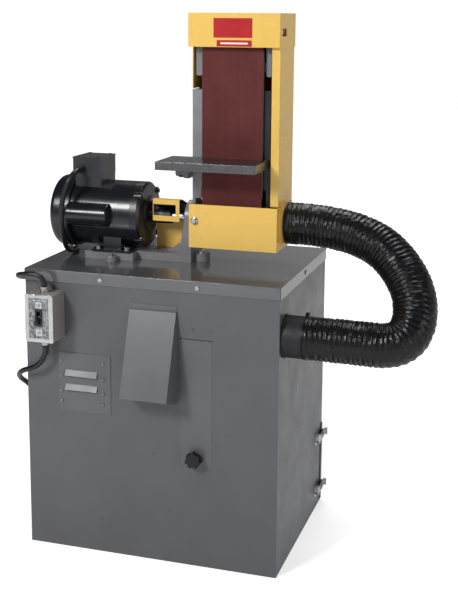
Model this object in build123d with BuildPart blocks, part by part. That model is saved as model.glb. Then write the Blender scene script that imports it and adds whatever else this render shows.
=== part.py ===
from build123d import *
from math import cos, pi, radians, sin, sqrt, tan
import os

# Stationary belt sander, 6 x 48 in belt, driven straight off its motor and standing on a
# dust-collector cabinet. Millimetres. The origin is the middle of the cabinet's footprint on
# the floor: +X is the operator's right, +Y goes away from the operator, +Z is up.

os.makedirs("parts", exist_ok=True)

INCH = 25.4
CLEAR = 0.3  # gap between neighbours that aren't fastened to each other
RUNNING_FIT = 0.05  # radial gap of a pin or shaft in its bore
SCREW_R = 1.9  # shank of a sheet-metal screw
SCREW_HOLE_R = 2.1
SCREW_HEAD = 2.4

# ---- driving sizes: cabinet
LID_X, LID_Y = 325.0, 240.0  # half width and half depth
LID_TOP = 714.0
LID_SKIRT = 29.0
SHEET = 2.0
BODY_X = LID_X - SHEET - CLEAR
BODY_Y = LID_Y - SHEET - CLEAR
BODY_TOP = LID_TOP - SHEET
FRONT = -BODY_Y  # outer face of the front panel

# ---- driving sizes: drive axis, shared by motor, coupling, drum, arm pivot and dust outlet
BASE_T = 20.0
SHAFT_RISE = 3.5 * INCH  # shaft height of a 56-frame motor
BASE_TOP = LID_TOP + BASE_T
AXIS_Y = -10.0
AXIS_Z = BASE_TOP + SHAFT_RISE

# ---- driving sizes: belt run
BELT_W = 6 * INCH
BELT_LENGTH = 48 * INCH
BELT_T = 1.5
BELT_X = 152.0  # middle of the belt
DRIVE_R = 55.0
IDLER_R = 35.0
BELT_LEFT = BELT_X - BELT_W / 2
BELT_RIGHT = BELT_X + BELT_W / 2
BELT_INNER_Y = AXIS_Y - DRIVE_R  # inner face of the working run
IDLER_Y = BELT_INNER_Y + IDLER_R
# the front run is upright and the back run leans, so the loop closes on 48 in
RADIUS_STEP = DRIVE_R - IDLER_R
LEAN_SPAN = (BELT_LENGTH - pi * (DRIVE_R + IDLER_R)) / 2
IDLER_Z = AXIS_Z + LEAN_SPAN - RADIUS_STEP**2 / LEAN_SPAN

# ---- driving sizes: flexible hose between dust outlet and cabinet inlet
HOSE_R = 52.5
INLET_Y, INLET_Z = -183.0, 586.0
SPIGOT_R = 50.0
CUFF_LENGTH = 50.0


# ---------------------------------------------------------------- helpers
def save(piece, name):
    """Label a finished piece and write it as its own STEP file."""
    piece.part.label = name
    export_step(piece.part, f"parts/{name}.step")


def block(x, y, z, mode=Mode.ADD):
    """A box given by its (low, high) pairs."""
    centre = [sum(pair) / 2 for pair in (x, y, z)]
    size = [pair[1] - pair[0] for pair in (x, y, z)]
    with Locations(tuple(centre)):
        Box(*size, mode=mode)


def rod_x(x, y, z, radius, mode=Mode.ADD):
    """A cylinder along X, x being its (low, high) pair."""
    with Locations(Location((x[0], y, z), (0, 90, 0))):
        Cylinder(radius, x[1] - x[0], align=(Align.CENTER, Align.CENTER, Align.MIN), mode=mode)


def rod_y(x, y, z, radius, mode=Mode.ADD):
    """A cylinder along Y, y being its (low, high) pair."""
    with Locations(Location((x, y[0], z), (-90, 0, 0))):
        Cylinder(radius, y[1] - y[0], align=(Align.CENTER, Align.CENTER, Align.MIN), mode=mode)


def rod_z(x, y, z, radius, mode=Mode.ADD):
    """A cylinder along Z, z being its (low, high) pair."""
    with Locations((x, y, z[0])):
        Cylinder(radius, z[1] - z[0], align=(Align.CENTER, Align.CENTER, Align.MIN), mode=mode)


def ring_x(x, y, z, outer, inner):
    """A tube along X."""
    rod_x(x, y, z, outer)
    rod_x((x[0] - 1, x[1] + 1), y, z, inner, Mode.SUBTRACT)


def screw(place, outward, head_radius=4.0):
    """A pan-head screw seated at place, its head on the outward side; adds to the current part."""
    with Locations(Plane(origin=place, z_dir=outward).location):
        Cylinder(head_radius, SCREW_HEAD, align=(Align.CENTER, Align.CENTER, Align.MIN))
        Cylinder(SCREW_R, 4, align=(Align.CENTER, Align.CENTER, Align.MAX))


def screw_holes_front(places, y):
    """Holes along Y through whatever part is being built, for screws in its front."""
    for x, z in places:
        rod_y(x, y, z, SCREW_HOLE_R, Mode.SUBTRACT)


# ---------------------------------------------------------------- cabinet shell
HOOD_X = (-46.0, 72.0)
HOOD_TOP = 635.0
HOOD_REACH = 74.0
HOOD_BOTTOM_FRONT, HOOD_BOTTOM_BACK = 433.0, 409.0
HOOD_FLANGE = 14.0
HOOD_SHEET = 1.5

VENT_X, VENT_Z = (-236.0, -99.0), (361.0, 510.0)
VENT_PLATE = 1.5
LOUVRE_X = (-220.0, -132.0)
LOUVRE_TOPS = (467.0, 431.0)
VENT_SCREWS = [(x, z) for x in (-229.0, -119.0) for z in (488.0, 449.0, 412.0, 385.0)]

FLAP_X, FLAP_Z = (80.0, 159.0), (262.0, 571.0)
FLAP_MID = sum(FLAP_X) / 2
KNOB_Z = 279.0
FLAP_RIVETS = [(x, 595.0) for x in (86.0, 110.0, 155.0)]

DOOR_Z = (5.0, 225.0)
DOOR_HOLE_X, DOOR_HOLE_Z = (-300.0, 300.0), (24.0, 212.0)

SKIRT_SCREW_Z = 698.0
SKIRT_SCREW_X = 123.0
SKIRT_SCREW_Y = 5.0
LID_SCREW_HEAD_R = 5.5
SHELL_SCREW_R = 2.2

STARTER_X, STARTER_Z = (-293.0, -219.0), (548.0, 665.0)
STARTER_DEPTH = 62.0

BASE_BOLTS = [(-154.0, -98.0, LID_TOP + 12), (-154.0, 78.0, LID_TOP + 12), (58.0, -16.0, BASE_TOP)]
BOLT_HOLE_R = 4.2
BOLT_ACROSS, BOLT_HEAD, BOLT_GRIP = 13.0, 6.0, 22.0

# inner partition between filter side and blower side, with the shelf the blower stands on
PARTITION_X = (74.0, 76.0)
SHELF_Z = (230.0, 232.0)
BLOWER_Y, BLOWER_Z = 20.0, 440.0
BLOWER_INLET_R = 45.0
INNER_X, INNER_Y = BODY_X - SHEET, BODY_Y - SHEET

HINGE_X, HINGE_Y, HINGE_R = -BODY_X + 4, BODY_Y + 5, 4.0
HINGE_PIN_R = 2.0
HINGE_HEIGHTS = (60.0, 170.0)
KNUCKLE = 14.0

WALL_BAND = (FRONT - 1, FRONT + SHEET + 1)

with BuildPart() as cabinet_body:
    block((-BODY_X, BODY_X), (-BODY_Y, BODY_Y), (0, BODY_TOP))
    block(
        (-BODY_X + SHEET, BODY_X - SHEET),
        (-BODY_Y + SHEET, BODY_Y - SHEET),
        (SHEET, BODY_TOP + 1),
        Mode.SUBTRACT,
    )
    # openings: hood, louvres, shaker flap, dust door, hose inlet
    block((HOOD_X[0] + 18, HOOD_X[1] - 14), WALL_BAND, (502, 558), Mode.SUBTRACT)
    block(LOUVRE_X, WALL_BAND, (400, 470), Mode.SUBTRACT)
    block(
        (FLAP_X[0] - CLEAR, FLAP_X[1] + CLEAR),
        WALL_BAND,
        (FLAP_Z[0] - CLEAR, FLAP_Z[1] + 2),
        Mode.SUBTRACT,
    )
    block(DOOR_HOLE_X, (BODY_Y - SHEET - 1, BODY_Y + 1), DOOR_HOLE_Z, Mode.SUBTRACT)
    rod_x((BODY_X - SHEET - 1, BODY_X + 1), INLET_Y, INLET_Z, SPIGOT_R - 2, Mode.SUBTRACT)
    screw_holes_front(VENT_SCREWS + FLAP_RIVETS, WALL_BAND)
    for side in (-1, 1):
        for x in (-SKIRT_SCREW_X, SKIRT_SCREW_X):
            with Locations((x, side * BODY_Y, SKIRT_SCREW_Z)):
                Cylinder(SHELL_SCREW_R, 8, rotation=(90, 0, 0), mode=Mode.SUBTRACT)
        with Locations((side * BODY_X, SKIRT_SCREW_Y, SKIRT_SCREW_Z)):
            Cylinder(SHELL_SCREW_R, 8, rotation=(0, 90, 0), mode=Mode.SUBTRACT)
    block(PARTITION_X, (-INNER_Y, INNER_Y), (SHELF_Z[0], BODY_TOP - 2))
    block((-INNER_X, PARTITION_X[1]), (-INNER_Y, INNER_Y), SHELF_Z)
    rod_x((PARTITION_X[0] - 1, PARTITION_X[1] + 1), BLOWER_Y, BLOWER_Z, BLOWER_INLET_R, Mode.SUBTRACT)
    # fixed knuckles and pins of the dust door's hinges
    for z in HINGE_HEIGHTS:
        for low in (z - 1.5 * KNUCKLE, z + KNUCKLE / 2 + CLEAR):
            span = (low, low + KNUCKLE - CLEAR)
            rod_z(HINGE_X, HINGE_Y, span, HINGE_R)
            block((HINGE_X - 4, HINGE_X + 3), (BODY_Y - 1, HINGE_Y), span)
        rod_z(HINGE_X, HINGE_Y, (z - 1.5 * KNUCKLE, z + 1.5 * KNUCKLE), HINGE_PIN_R)
save(cabinet_body, "cabinet_body")

with BuildPart() as cabinet_top:
    block((-LID_X, LID_X), (-LID_Y, LID_Y), (LID_TOP - LID_SKIRT, LID_TOP))
    fillet(cabinet_top.edges().filter_by(Axis.Z), 3)
    fillet(cabinet_top.edges().group_by(Axis.Z)[-1], 1.2)
    block(
        (-LID_X + SHEET, LID_X - SHEET),
        (-LID_Y + SHEET, LID_Y - SHEET),
        (LID_TOP - LID_SKIRT - 1, BODY_TOP),
        Mode.SUBTRACT,
    )
    for x, y, z in BASE_BOLTS:
        rod_z(x, y, (BODY_TOP - 1, LID_TOP + 1), BOLT_HOLE_R, Mode.SUBTRACT)
    for side in (-1, 1):
        for x in (-SKIRT_SCREW_X, SKIRT_SCREW_X):
            with Locations((x, side * LID_Y, SKIRT_SCREW_Z)):
                Cylinder(SHELL_SCREW_R, 8, rotation=(90, 0, 0), mode=Mode.SUBTRACT)
        with Locations((side * LID_X, SKIRT_SCREW_Y, SKIRT_SCREW_Z)):
            Cylinder(SHELL_SCREW_R, 8, rotation=(0, 90, 0), mode=Mode.SUBTRACT)
save(cabinet_top, "cabinet_top")


# ---------------------------------------------------------------- louvred vent panel
LOUVRE_DROP = 15.0
LOUVRE_REACH = 7.0
VENT_FACE = FRONT - VENT_PLATE


def louvre(top):
    """One pressed louvre: a sloping hood with closed ends over a slot in the plate."""
    for x0, x1, skin in (
        (LOUVRE_X[0] + 2, LOUVRE_X[1] - 2, 1.2),
        (LOUVRE_X[0] + 2, LOUVRE_X[0] + 3.2, LOUVRE_DROP),
        (LOUVRE_X[1] - 3.2, LOUVRE_X[1] - 2, LOUVRE_DROP),
    ):
        with BuildSketch(Plane.YZ.offset(x0)) as outline:
            Polygon(
                (VENT_FACE + 0.5, top),
                (VENT_FACE - LOUVRE_REACH, top - LOUVRE_DROP),
                (VENT_FACE - LOUVRE_REACH + min(skin, LOUVRE_REACH), top - LOUVRE_DROP),
                (VENT_FACE + 0.5, top - min(2 * skin, LOUVRE_DROP)),
                align=None,
            )
        extrude(outline.sketch, amount=x1 - x0)


with BuildPart() as vent_panel:
    block(VENT_X, (VENT_FACE, FRONT), VENT_Z)
    for top in LOUVRE_TOPS:
        block(
            (LOUVRE_X[0] + 3.2, LOUVRE_X[1] - 3.2),
            (VENT_FACE - 1, FRONT + 1),
            (top - LOUVRE_DROP, top - 4),
            Mode.SUBTRACT,
        )
        louvre(top)
    screw_holes_front(VENT_SCREWS, (VENT_FACE - 1, FRONT + 1))
save(vent_panel, "vent_panel")


# ---------------------------------------------------------------- exhaust hood
with BuildPart() as exhaust_hood:
    with BuildSketch(Plane.YZ.offset(HOOD_X[0])):
        Polygon(
            (FRONT, HOOD_TOP),
            (FRONT - 6, HOOD_TOP),
            (FRONT - HOOD_REACH, HOOD_BOTTOM_FRONT),
            (FRONT, HOOD_BOTTOM_BACK),
            align=None,
        )
    extrude(amount=HOOD_X[1] - HOOD_X[0])
    with BuildSketch(Plane.YZ.offset(HOOD_X[0] + HOOD_SHEET)):
        Polygon(
            (FRONT + 1, HOOD_TOP - HOOD_SHEET),
            (FRONT - 6 + HOOD_SHEET, HOOD_TOP - HOOD_SHEET),
            (FRONT - HOOD_REACH + HOOD_SHEET, HOOD_BOTTOM_FRONT),
            (FRONT - HOOD_REACH + HOOD_SHEET, HOOD_BOTTOM_BACK - 10),
            (FRONT + 1, HOOD_BOTTOM_BACK - 10),
            align=None,
        )
    extrude(amount=HOOD_X[1] - HOOD_X[0] - 2 * HOOD_SHEET, mode=Mode.SUBTRACT)
    block(HOOD_X, (FRONT - HOOD_SHEET, FRONT), (HOOD_TOP - 1, HOOD_TOP + HOOD_FLANGE))
save(exhaust_hood, "exhaust_hood")


# ---------------------------------------------------------------- filter shaker
FLAP_AXIS_Y = FRONT + 5.0
FLAP_AXIS_Z = FLAP_Z[1] + 1
FLAP_PIN_R = 1.2
KNUCKLE_R = 2.4
KNOB_R = 20.0
KNOB_LOBES = 7
FILTER_Y = (-172.0, 172.0)
LEAF_X = (FLAP_MID - 20, FLAP_MID + 20)
FLAP_KNUCKLES = ((FLAP_X[0] + 5, LEAF_X[0] - CLEAR), (LEAF_X[1] + CLEAR, FLAP_X[1] - 5))

with BuildPart() as shaker_flap:
    block(FLAP_X, (FRONT, FRONT + SHEET), FLAP_Z)
    fillet(shaker_flap.edges().filter_by(Axis.Y), 3)
    for x in FLAP_KNUCKLES:
        rod_x(x, FLAP_AXIS_Y, FLAP_AXIS_Z, KNUCKLE_R)
        block(x, (FRONT + SHEET - 0.5, FLAP_AXIS_Y), (FLAP_AXIS_Z - KNUCKLE_R, FLAP_AXIS_Z - 1.2))
        rod_x(x, FLAP_AXIS_Y, FLAP_AXIS_Z, FLAP_PIN_R + RUNNING_FIT, Mode.SUBTRACT)
    rod_y(FLAP_MID, (FRONT - 1, FRONT + SHEET + 1), KNOB_Z, 3.1, Mode.SUBTRACT)
save(shaker_flap, "shaker_flap")

with BuildPart() as shaker_hinge:
    block((FLAP_X[0] - 4, FLAP_X[1] + 4), (FRONT + SHEET, FRONT + SHEET + 1), (578, 606))
    block(LEAF_X, (FRONT + SHEET, FRONT + SHEET + 1), (FLAP_AXIS_Z + 1, 579))
    rod_x(LEAF_X, FLAP_AXIS_Y, FLAP_AXIS_Z, KNUCKLE_R)
    rod_x((FLAP_KNUCKLES[0][0], FLAP_KNUCKLES[1][1]), FLAP_AXIS_Y, FLAP_AXIS_Z, FLAP_PIN_R)
    # the three rivets that hold it to the front panel
    for x, z in FLAP_RIVETS:
        rod_y(x, (FRONT - 1.8, FRONT), z, 3.4)
        rod_y(x, (FRONT, FRONT + SHEET), z, 2)
save(shaker_hinge, "shaker_hinge")

with BuildPart() as shaker_knob:
    rod_y(FLAP_MID, (FRONT - 26, FRONT - 10), KNOB_Z, KNOB_R - 3.5)
    for lobe in range(KNOB_LOBES):
        turn = 2 * pi * lobe / KNOB_LOBES
        reach = KNOB_R - 5.5
        rod_y(FLAP_MID + reach * sin(turn), (FRONT - 26, FRONT - 10), KNOB_Z + reach * cos(turn), 5.5)
    fillet(shaker_knob.edges().group_by(Axis.Y)[0], 2)
    rod_y(FLAP_MID, (FRONT - 10, FRONT), KNOB_Z, 9)
    # rod that raps the filter's edge when the flap drops back
    rod_y(FLAP_MID, (FRONT, FILTER_Y[0] - 2), KNOB_Z, 3)
    rod_y(FLAP_MID, (FRONT + SHEET, FRONT + SHEET + 4), KNOB_Z, 7)
    rod_y(FLAP_MID, (FILTER_Y[0] - 8, FILTER_Y[0] - 2), KNOB_Z, 10)
save(shaker_knob, "shaker_knob")


# ---------------------------------------------------------------- inside: filter cartridge
FILTER_X = (PARTITION_X[1], 150.0)
FILTER_Z = (262.0, 660.0)
FILTER_RIM = 12.0
PLEATS = 16

with BuildPart() as filter_cartridge:
    block(FILTER_X, FILTER_Y, FILTER_Z)
    block(
        (FILTER_X[0] - 1, FILTER_X[1] + 1),
        (FILTER_Y[0] + FILTER_RIM, FILTER_Y[1] - FILTER_RIM),
        (FILTER_Z[0] + FILTER_RIM, FILTER_Z[1] - FILTER_RIM),
        Mode.SUBTRACT,
    )
    low, high = FILTER_Y[0] + FILTER_RIM, FILTER_Y[1] - FILTER_RIM
    pitch = (high - low) / PLEATS
    fold = []
    for pleat in range(PLEATS):
        start = low + pleat * pitch
        fold += [(FILTER_X[0] + 12, start), (FILTER_X[1] - 6, start + pitch / 2)]
    fold.append((FILTER_X[0] + 12, high))
    with BuildSketch(Plane.XY.offset(FILTER_Z[0] + FILTER_RIM)):
        Polygon(*fold, (FILTER_X[0] + 8, high), (FILTER_X[0] + 8, low), align=None)
    extrude(amount=FILTER_Z[1] - FILTER_Z[0] - 2 * FILTER_RIM)
save(filter_cartridge, "filter_cartridge")


# ---------------------------------------------------------------- inside: suction blower
SCROLL_R = 120.0
SCROLL_X = (-30.0, 60.0)
SCROLL_SHEET = 2.0
DUCT_Z = (500.0, BLOWER_Z + SCROLL_R)
BLOWER_MOTOR_X = (-190.0, -34.0)
BLOWER_MOTOR_R = 70.0
BLOWER_SHAFT_R = 6.0
BLADES = 10

with BuildPart() as blower_housing:
    rod_x(SCROLL_X, BLOWER_Y, BLOWER_Z, SCROLL_R)
    block(SCROLL_X, (FRONT + SHEET, BLOWER_Y), DUCT_Z)
    rod_x((SCROLL_X[1], PARTITION_X[0]), BLOWER_Y, BLOWER_Z, BLOWER_INLET_R + 2)
    inner = (SCROLL_X[0] + SCROLL_SHEET, SCROLL_X[1] - SCROLL_SHEET)
    rod_x(inner, BLOWER_Y, BLOWER_Z, SCROLL_R - SCROLL_SHEET, Mode.SUBTRACT)
    block(
        inner,
        (FRONT, BLOWER_Y),
        (DUCT_Z[0] + SCROLL_SHEET, DUCT_Z[1] - SCROLL_SHEET),
        Mode.SUBTRACT,
    )
    rod_x((SCROLL_X[1] - 3, PARTITION_X[0] + 1), BLOWER_Y, BLOWER_Z, BLOWER_INLET_R, Mode.SUBTRACT)
    rod_x((SCROLL_X[0] - 1, SCROLL_X[0] + 3), BLOWER_Y, BLOWER_Z, 14, Mode.SUBTRACT)
save(blower_housing, "blower_housing")

with BuildPart() as blower_wheel:
    rod_x((-24, -21), BLOWER_Y, BLOWER_Z, 104)
    rod_x((-21, 2), BLOWER_Y, BLOWER_Z, 16)
    for blade in range(BLADES):
        with Locations(Location((9, BLOWER_Y, BLOWER_Z), (360 * blade / BLADES, 0, 0))):
            with Locations((0, 0, 78)):
                Box(60, 2, 48)
    ring_x((38, 40), BLOWER_Y, BLOWER_Z, 104, 60)
    rod_x((BLOWER_MOTOR_X[1] - 30, 2), BLOWER_Y, BLOWER_Z, BLOWER_SHAFT_R)
save(blower_wheel, "blower_wheel")

with BuildPart() as blower_motor:
    rod_x(BLOWER_MOTOR_X, BLOWER_Y, BLOWER_Z, BLOWER_MOTOR_R)
    fillet(blower_motor.edges().filter_by(GeomType.CIRCLE), 8)
    rod_x(
        (BLOWER_MOTOR_X[1] - 31, BLOWER_MOTOR_X[1] + 1),
        BLOWER_Y,
        BLOWER_Z,
        BLOWER_SHAFT_R + RUNNING_FIT,
        Mode.SUBTRACT,
    )
    # welded stand
    for x in ((-165, -153), (-72, -60)):
        block(x, (BLOWER_Y - 50, BLOWER_Y + 50), (SHELF_Z[1], BLOWER_Z - 55))
    block((-165, -60), (BLOWER_Y - 60, BLOWER_Y + 60), (SHELF_Z[1], SHELF_Z[1] + 6))
save(blower_motor, "blower_motor")

with BuildPart() as dust_pan:
    block((-280, 280), (-200, 222), (SHEET, 190))
    block((-278, 278), (-198, 220), (SHEET + 2, 191), Mode.SUBTRACT)
    block((-60, 60), (220, 229), (150, 156))
    for x in (-60, 52):
        block((x, x + 8), (220, 229), (140, 156))
save(dust_pan, "dust_pan")


# ---------------------------------------------------------------- rear dust door and latches
DOOR_FLANGE_X = (BODY_X + CLEAR, BODY_X + CLEAR + SHEET)

LATCH_PIVOT_X, LATCH_PIVOT_Y = BODY_X + 7.0, 178.0
LATCH_HEIGHTS = {"upper": 200.0, "lower": 52.0}
LATCH_PIN_R = 2.0
LATCH_HALF = 9.0

with BuildPart() as rear_door:
    block((HINGE_X + 8, DOOR_FLANGE_X[1]), (BODY_Y, BODY_Y + SHEET), DOOR_Z)
    block(DOOR_FLANGE_X, (BODY_Y - 12, BODY_Y + SHEET), DOOR_Z)
    for z in HINGE_HEIGHTS:
        middle = (z - KNUCKLE / 2, z + KNUCKLE / 2)
        rod_z(HINGE_X, HINGE_Y, middle, HINGE_R)
        block((HINGE_X, HINGE_X + 30), (BODY_Y + SHEET, BODY_Y + SHEET + 1.5), middle)
        rod_z(HINGE_X, HINGE_Y, middle, HINGE_PIN_R + RUNNING_FIT, Mode.SUBTRACT)
    for z in LATCH_HEIGHTS.values():
        block((DOOR_FLANGE_X[1] - 1, LATCH_PIVOT_X + 0.7), (BODY_Y - 11, BODY_Y - 1), (z - 7, z + 7))
save(rear_door, "rear_door")

with BuildPart() as latch_bases:
    for z in LATCH_HEIGHTS.values():
        block((BODY_X, BODY_X + 1.5), (158, 196), (z - 15, z + 15))
        for side in (-1, 1):
            ear = sorted((z + side * (LATCH_HALF + 1), z + side * (LATCH_HALF + 3)))
            block((BODY_X, LATCH_PIVOT_X), (LATCH_PIVOT_Y - 5, LATCH_PIVOT_Y + 5), ear)
            rod_z(LATCH_PIVOT_X, LATCH_PIVOT_Y, ear, 5)
        rod_z(LATCH_PIVOT_X, LATCH_PIVOT_Y, (z - 12, z + 12), LATCH_PIN_R)
save(latch_bases, "latch_bases")


def latch_lever(z, name):
    """Hinged clasp: a barrel on the pivot, an arm that lies over the door flange, a turned-up grip."""
    with BuildPart() as lever:
        span = (z - LATCH_HALF, z + LATCH_HALF)
        rod_z(LATCH_PIVOT_X, LATCH_PIVOT_Y, span, 4)
        block((LATCH_PIVOT_X + 1, LATCH_PIVOT_X + 4), (LATCH_PIVOT_Y, BODY_Y + 2), span)
        block((LATCH_PIVOT_X + 1, LATCH_PIVOT_X + 9), (BODY_Y + 2, BODY_Y + 4.5), span)
        block((LATCH_PIVOT_X + 4, LATCH_PIVOT_X + 7), (195, 222), (z - 4, z + 4))
        rod_z(LATCH_PIVOT_X, LATCH_PIVOT_Y, (z - 20, z + 20), LATCH_PIN_R + RUNNING_FIT, Mode.SUBTRACT)
    save(lever, name)


for level, height in LATCH_HEIGHTS.items():
    latch_lever(height, f"latch_lever_{level}")


# ---------------------------------------------------------------- hose inlet on the cabinet side
CUFF_END = LID_X + CUFF_LENGTH
with BuildPart() as inlet_cuff:
    rod_x((BODY_X, BODY_X + 2), INLET_Y, INLET_Z, SPIGOT_R + 2.6)
    rod_x((BODY_X, CUFF_END), INLET_Y, INLET_Z, SPIGOT_R)
    rod_x((BODY_X - 1, CUFF_END + 1), INLET_Y, INLET_Z, SPIGOT_R - 2, Mode.SUBTRACT)
save(inlet_cuff, "inlet_cuff")

with BuildPart() as hose_clamp:
    ring_x((CUFF_END - 5, CUFF_END - 1), INLET_Y, INLET_Z, SPIGOT_R + 1.6, SPIGOT_R)
    block((CUFF_END - 8, CUFF_END), (INLET_Y + 14, INLET_Y + 28), (INLET_Z + 40, INLET_Z + 54))
    rod_y(CUFF_END - 4, (INLET_Y + 28, INLET_Y + 36), INLET_Z + 48, 3)
    rod_x((CUFF_END - 9, CUFF_END + 1), INLET_Y, INLET_Z, SPIGOT_R, Mode.SUBTRACT)
save(hose_clamp, "hose_clamp")


# ---------------------------------------------------------------- motor starter
STARTER_FRONT = FRONT - STARTER_DEPTH
STARTER_MID_X, STARTER_MID_Z = sum(STARTER_X) / 2, sum(STARTER_Z) / 2
STARTER_WALL = 1.6
TOGGLE_Z = STARTER_MID_Z + 3
TOGGLE_AXIS_Y = STARTER_FRONT + 4
CORD_R = 6.5
GLAND_R = 11.0
GLAND_Y = FRONT - 32
PLATE_SCREWS = [(STARTER_MID_X, STARTER_MID_Z + side * 34) for side in (-1, 1)]

with BuildPart() as starter_box:
    block(STARTER_X, (STARTER_FRONT, FRONT), STARTER_Z)
    fillet(starter_box.edges().filter_by(Axis.Y), 4)
    block(
        (STARTER_X[0] + STARTER_WALL, STARTER_X[1] - STARTER_WALL),
        (STARTER_FRONT - 1, FRONT - STARTER_WALL),
        (STARTER_Z[0] + STARTER_WALL, STARTER_Z[1] - STARTER_WALL),
        Mode.SUBTRACT,
    )
    rod_z(STARTER_MID_X, GLAND_Y, (STARTER_Z[0] - 1, STARTER_Z[1] + 1), GLAND_R - 2.8, Mode.SUBTRACT)
save(starter_box, "starter_box")

with BuildPart() as starter_cover:
    block(STARTER_X, (STARTER_FRONT - 2, STARTER_FRONT), STARTER_Z)
    fillet(starter_cover.edges().filter_by(Axis.Y), 4)
    fillet(starter_cover.edges().group_by(Axis.Y)[0], 1)
    block(
        (STARTER_MID_X - 9.5, STARTER_MID_X + 9.5),
        (STARTER_FRONT - 3, STARTER_FRONT + 1),
        (TOGGLE_Z - 21, TOGGLE_Z + 21),
        Mode.SUBTRACT,
    )
    screw_holes_front(PLATE_SCREWS, (STARTER_FRONT - 3, STARTER_FRONT + 1))
save(starter_cover, "starter_cover")

with BuildPart() as starter_plate:
    block(
        (STARTER_X[0] + 11, STARTER_X[1] - 12),
        (STARTER_FRONT - 3, STARTER_FRONT - 2),
        (STARTER_Z[0] + 9, STARTER_Z[1] - 8),
    )
    block(
        (STARTER_MID_X - 9.5, STARTER_MID_X + 9.5),
        (STARTER_FRONT - 4, STARTER_FRONT),
        (TOGGLE_Z - 21, TOGGLE_Z + 21),
        Mode.SUBTRACT,
    )
    screw_holes_front(PLATE_SCREWS, (STARTER_FRONT - 4, STARTER_FRONT))
save(starter_plate, "starter_plate")

with BuildPart() as starter_switch:
    block((STARTER_MID_X - 9, STARTER_MID_X + 9), (STARTER_FRONT, STARTER_FRONT + 38), (574, 644))
    block(
        (STARTER_MID_X - 9, STARTER_MID_X + 9),
        (STARTER_FRONT - 5, STARTER_FRONT),
        (TOGGLE_Z - 20.5, TOGGLE_Z + 20.5),
    )
    block(
        (STARTER_MID_X - 5, STARTER_MID_X + 5),
        (STARTER_FRONT - 6, STARTER_FRONT + 12),
        (TOGGLE_Z - 15, TOGGLE_Z + 15),
        Mode.SUBTRACT,
    )
    screw_holes_front(PLATE_SCREWS, (STARTER_FRONT - 1, STARTER_FRONT + 4))
save(starter_switch, "starter_switch")

with BuildPart() as starter_toggle:
    rod_x((STARTER_MID_X - 4.7, STARTER_MID_X + 4.7), TOGGLE_AXIS_Y, TOGGLE_Z, 5)
    with BuildSketch(Plane.YZ.offset(STARTER_MID_X - 4)):
        Polygon(
            (TOGGLE_AXIS_Y, TOGGLE_Z - 4.5),
            (TOGGLE_AXIS_Y, TOGGLE_Z + 2),
            (STARTER_FRONT - 20, TOGGLE_Z - 7),
            (STARTER_FRONT - 20, TOGGLE_Z - 13),
            align=None,
        )
    extrude(amount=8)
save(starter_toggle, "starter_toggle")


GLAND_LENGTH = 14.0
CONDUIT_X, CONDUIT_Y, CONDUIT_Z = (-274.0, -198.0), (-58.0, 38.0), (918.0, 966.0)
MOTOR_CORD_X, MOTOR_CORD_Z = -250.0, 938.0
GLAND_SEATS = [
    ((STARTER_MID_X, GLAND_Y, STARTER_Z[1]), (0, 0, 1)),
    ((STARTER_MID_X, GLAND_Y, STARTER_Z[0]), (0, 0, -1)),
    ((MOTOR_CORD_X, CONDUIT_Y[0], MOTOR_CORD_Z), (0, -1, 0)),
]

with BuildPart() as cord_glands:
    for seat, outward in GLAND_SEATS:
        with Locations(Plane(origin=seat, z_dir=outward).location):
            Cylinder(GLAND_R, 5, align=(Align.CENTER, Align.CENTER, Align.MIN))
            Cylinder(GLAND_R - 2, GLAND_LENGTH, align=(Align.CENTER, Align.CENTER, Align.MIN))
            Cylinder(GLAND_R - 3, 8, align=(Align.CENTER, Align.CENTER, Align.MAX))
            Cylinder(CORD_R, 20, mode=Mode.SUBTRACT)
save(cord_glands, "cord_glands")

with BuildPart() as panel_screws:
    # lid to cabinet: two in the front and back of the skirt, one in each side
    for side in (-1, 1):
        for x in (-SKIRT_SCREW_X, SKIRT_SCREW_X):
            screw((x, side * LID_Y, SKIRT_SCREW_Z), (0, side, 0), LID_SCREW_HEAD_R)
        screw((side * LID_X, SKIRT_SCREW_Y, SKIRT_SCREW_Z), (side, 0, 0), LID_SCREW_HEAD_R)
    for x, z in VENT_SCREWS:
        screw((x, VENT_FACE, z), (0, -1, 0))
    for x, z in PLATE_SCREWS:
        screw((x, STARTER_FRONT - 3, z), (0, -1, 0))
save(panel_screws, "panel_screws")


# ---------------------------------------------------------------- machine base
PAD_X = (-232.0, -101.0)
PAD_HALF = 75.0
POST_HALF = 44.0
POST_X = (11.0, 43.0)
POST_TOP_LEFT = 25.0
WEB_T, WEB_RISE, WEB_REACH = 10.0, 40.0, 42.0
PIVOT_R = 30.0
TAIL_R = 24.0
EAR_T = 12.0
MOTOR_MID_X = -160.5
FOOT_BOLTS = [
    (MOTOR_MID_X + sx * 1.5 * INCH, AXIS_Y + sy * 2.44 * INCH, BASE_TOP + 6)
    for sx in (-1, 1)
    for sy in (-1, 1)
]

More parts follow.
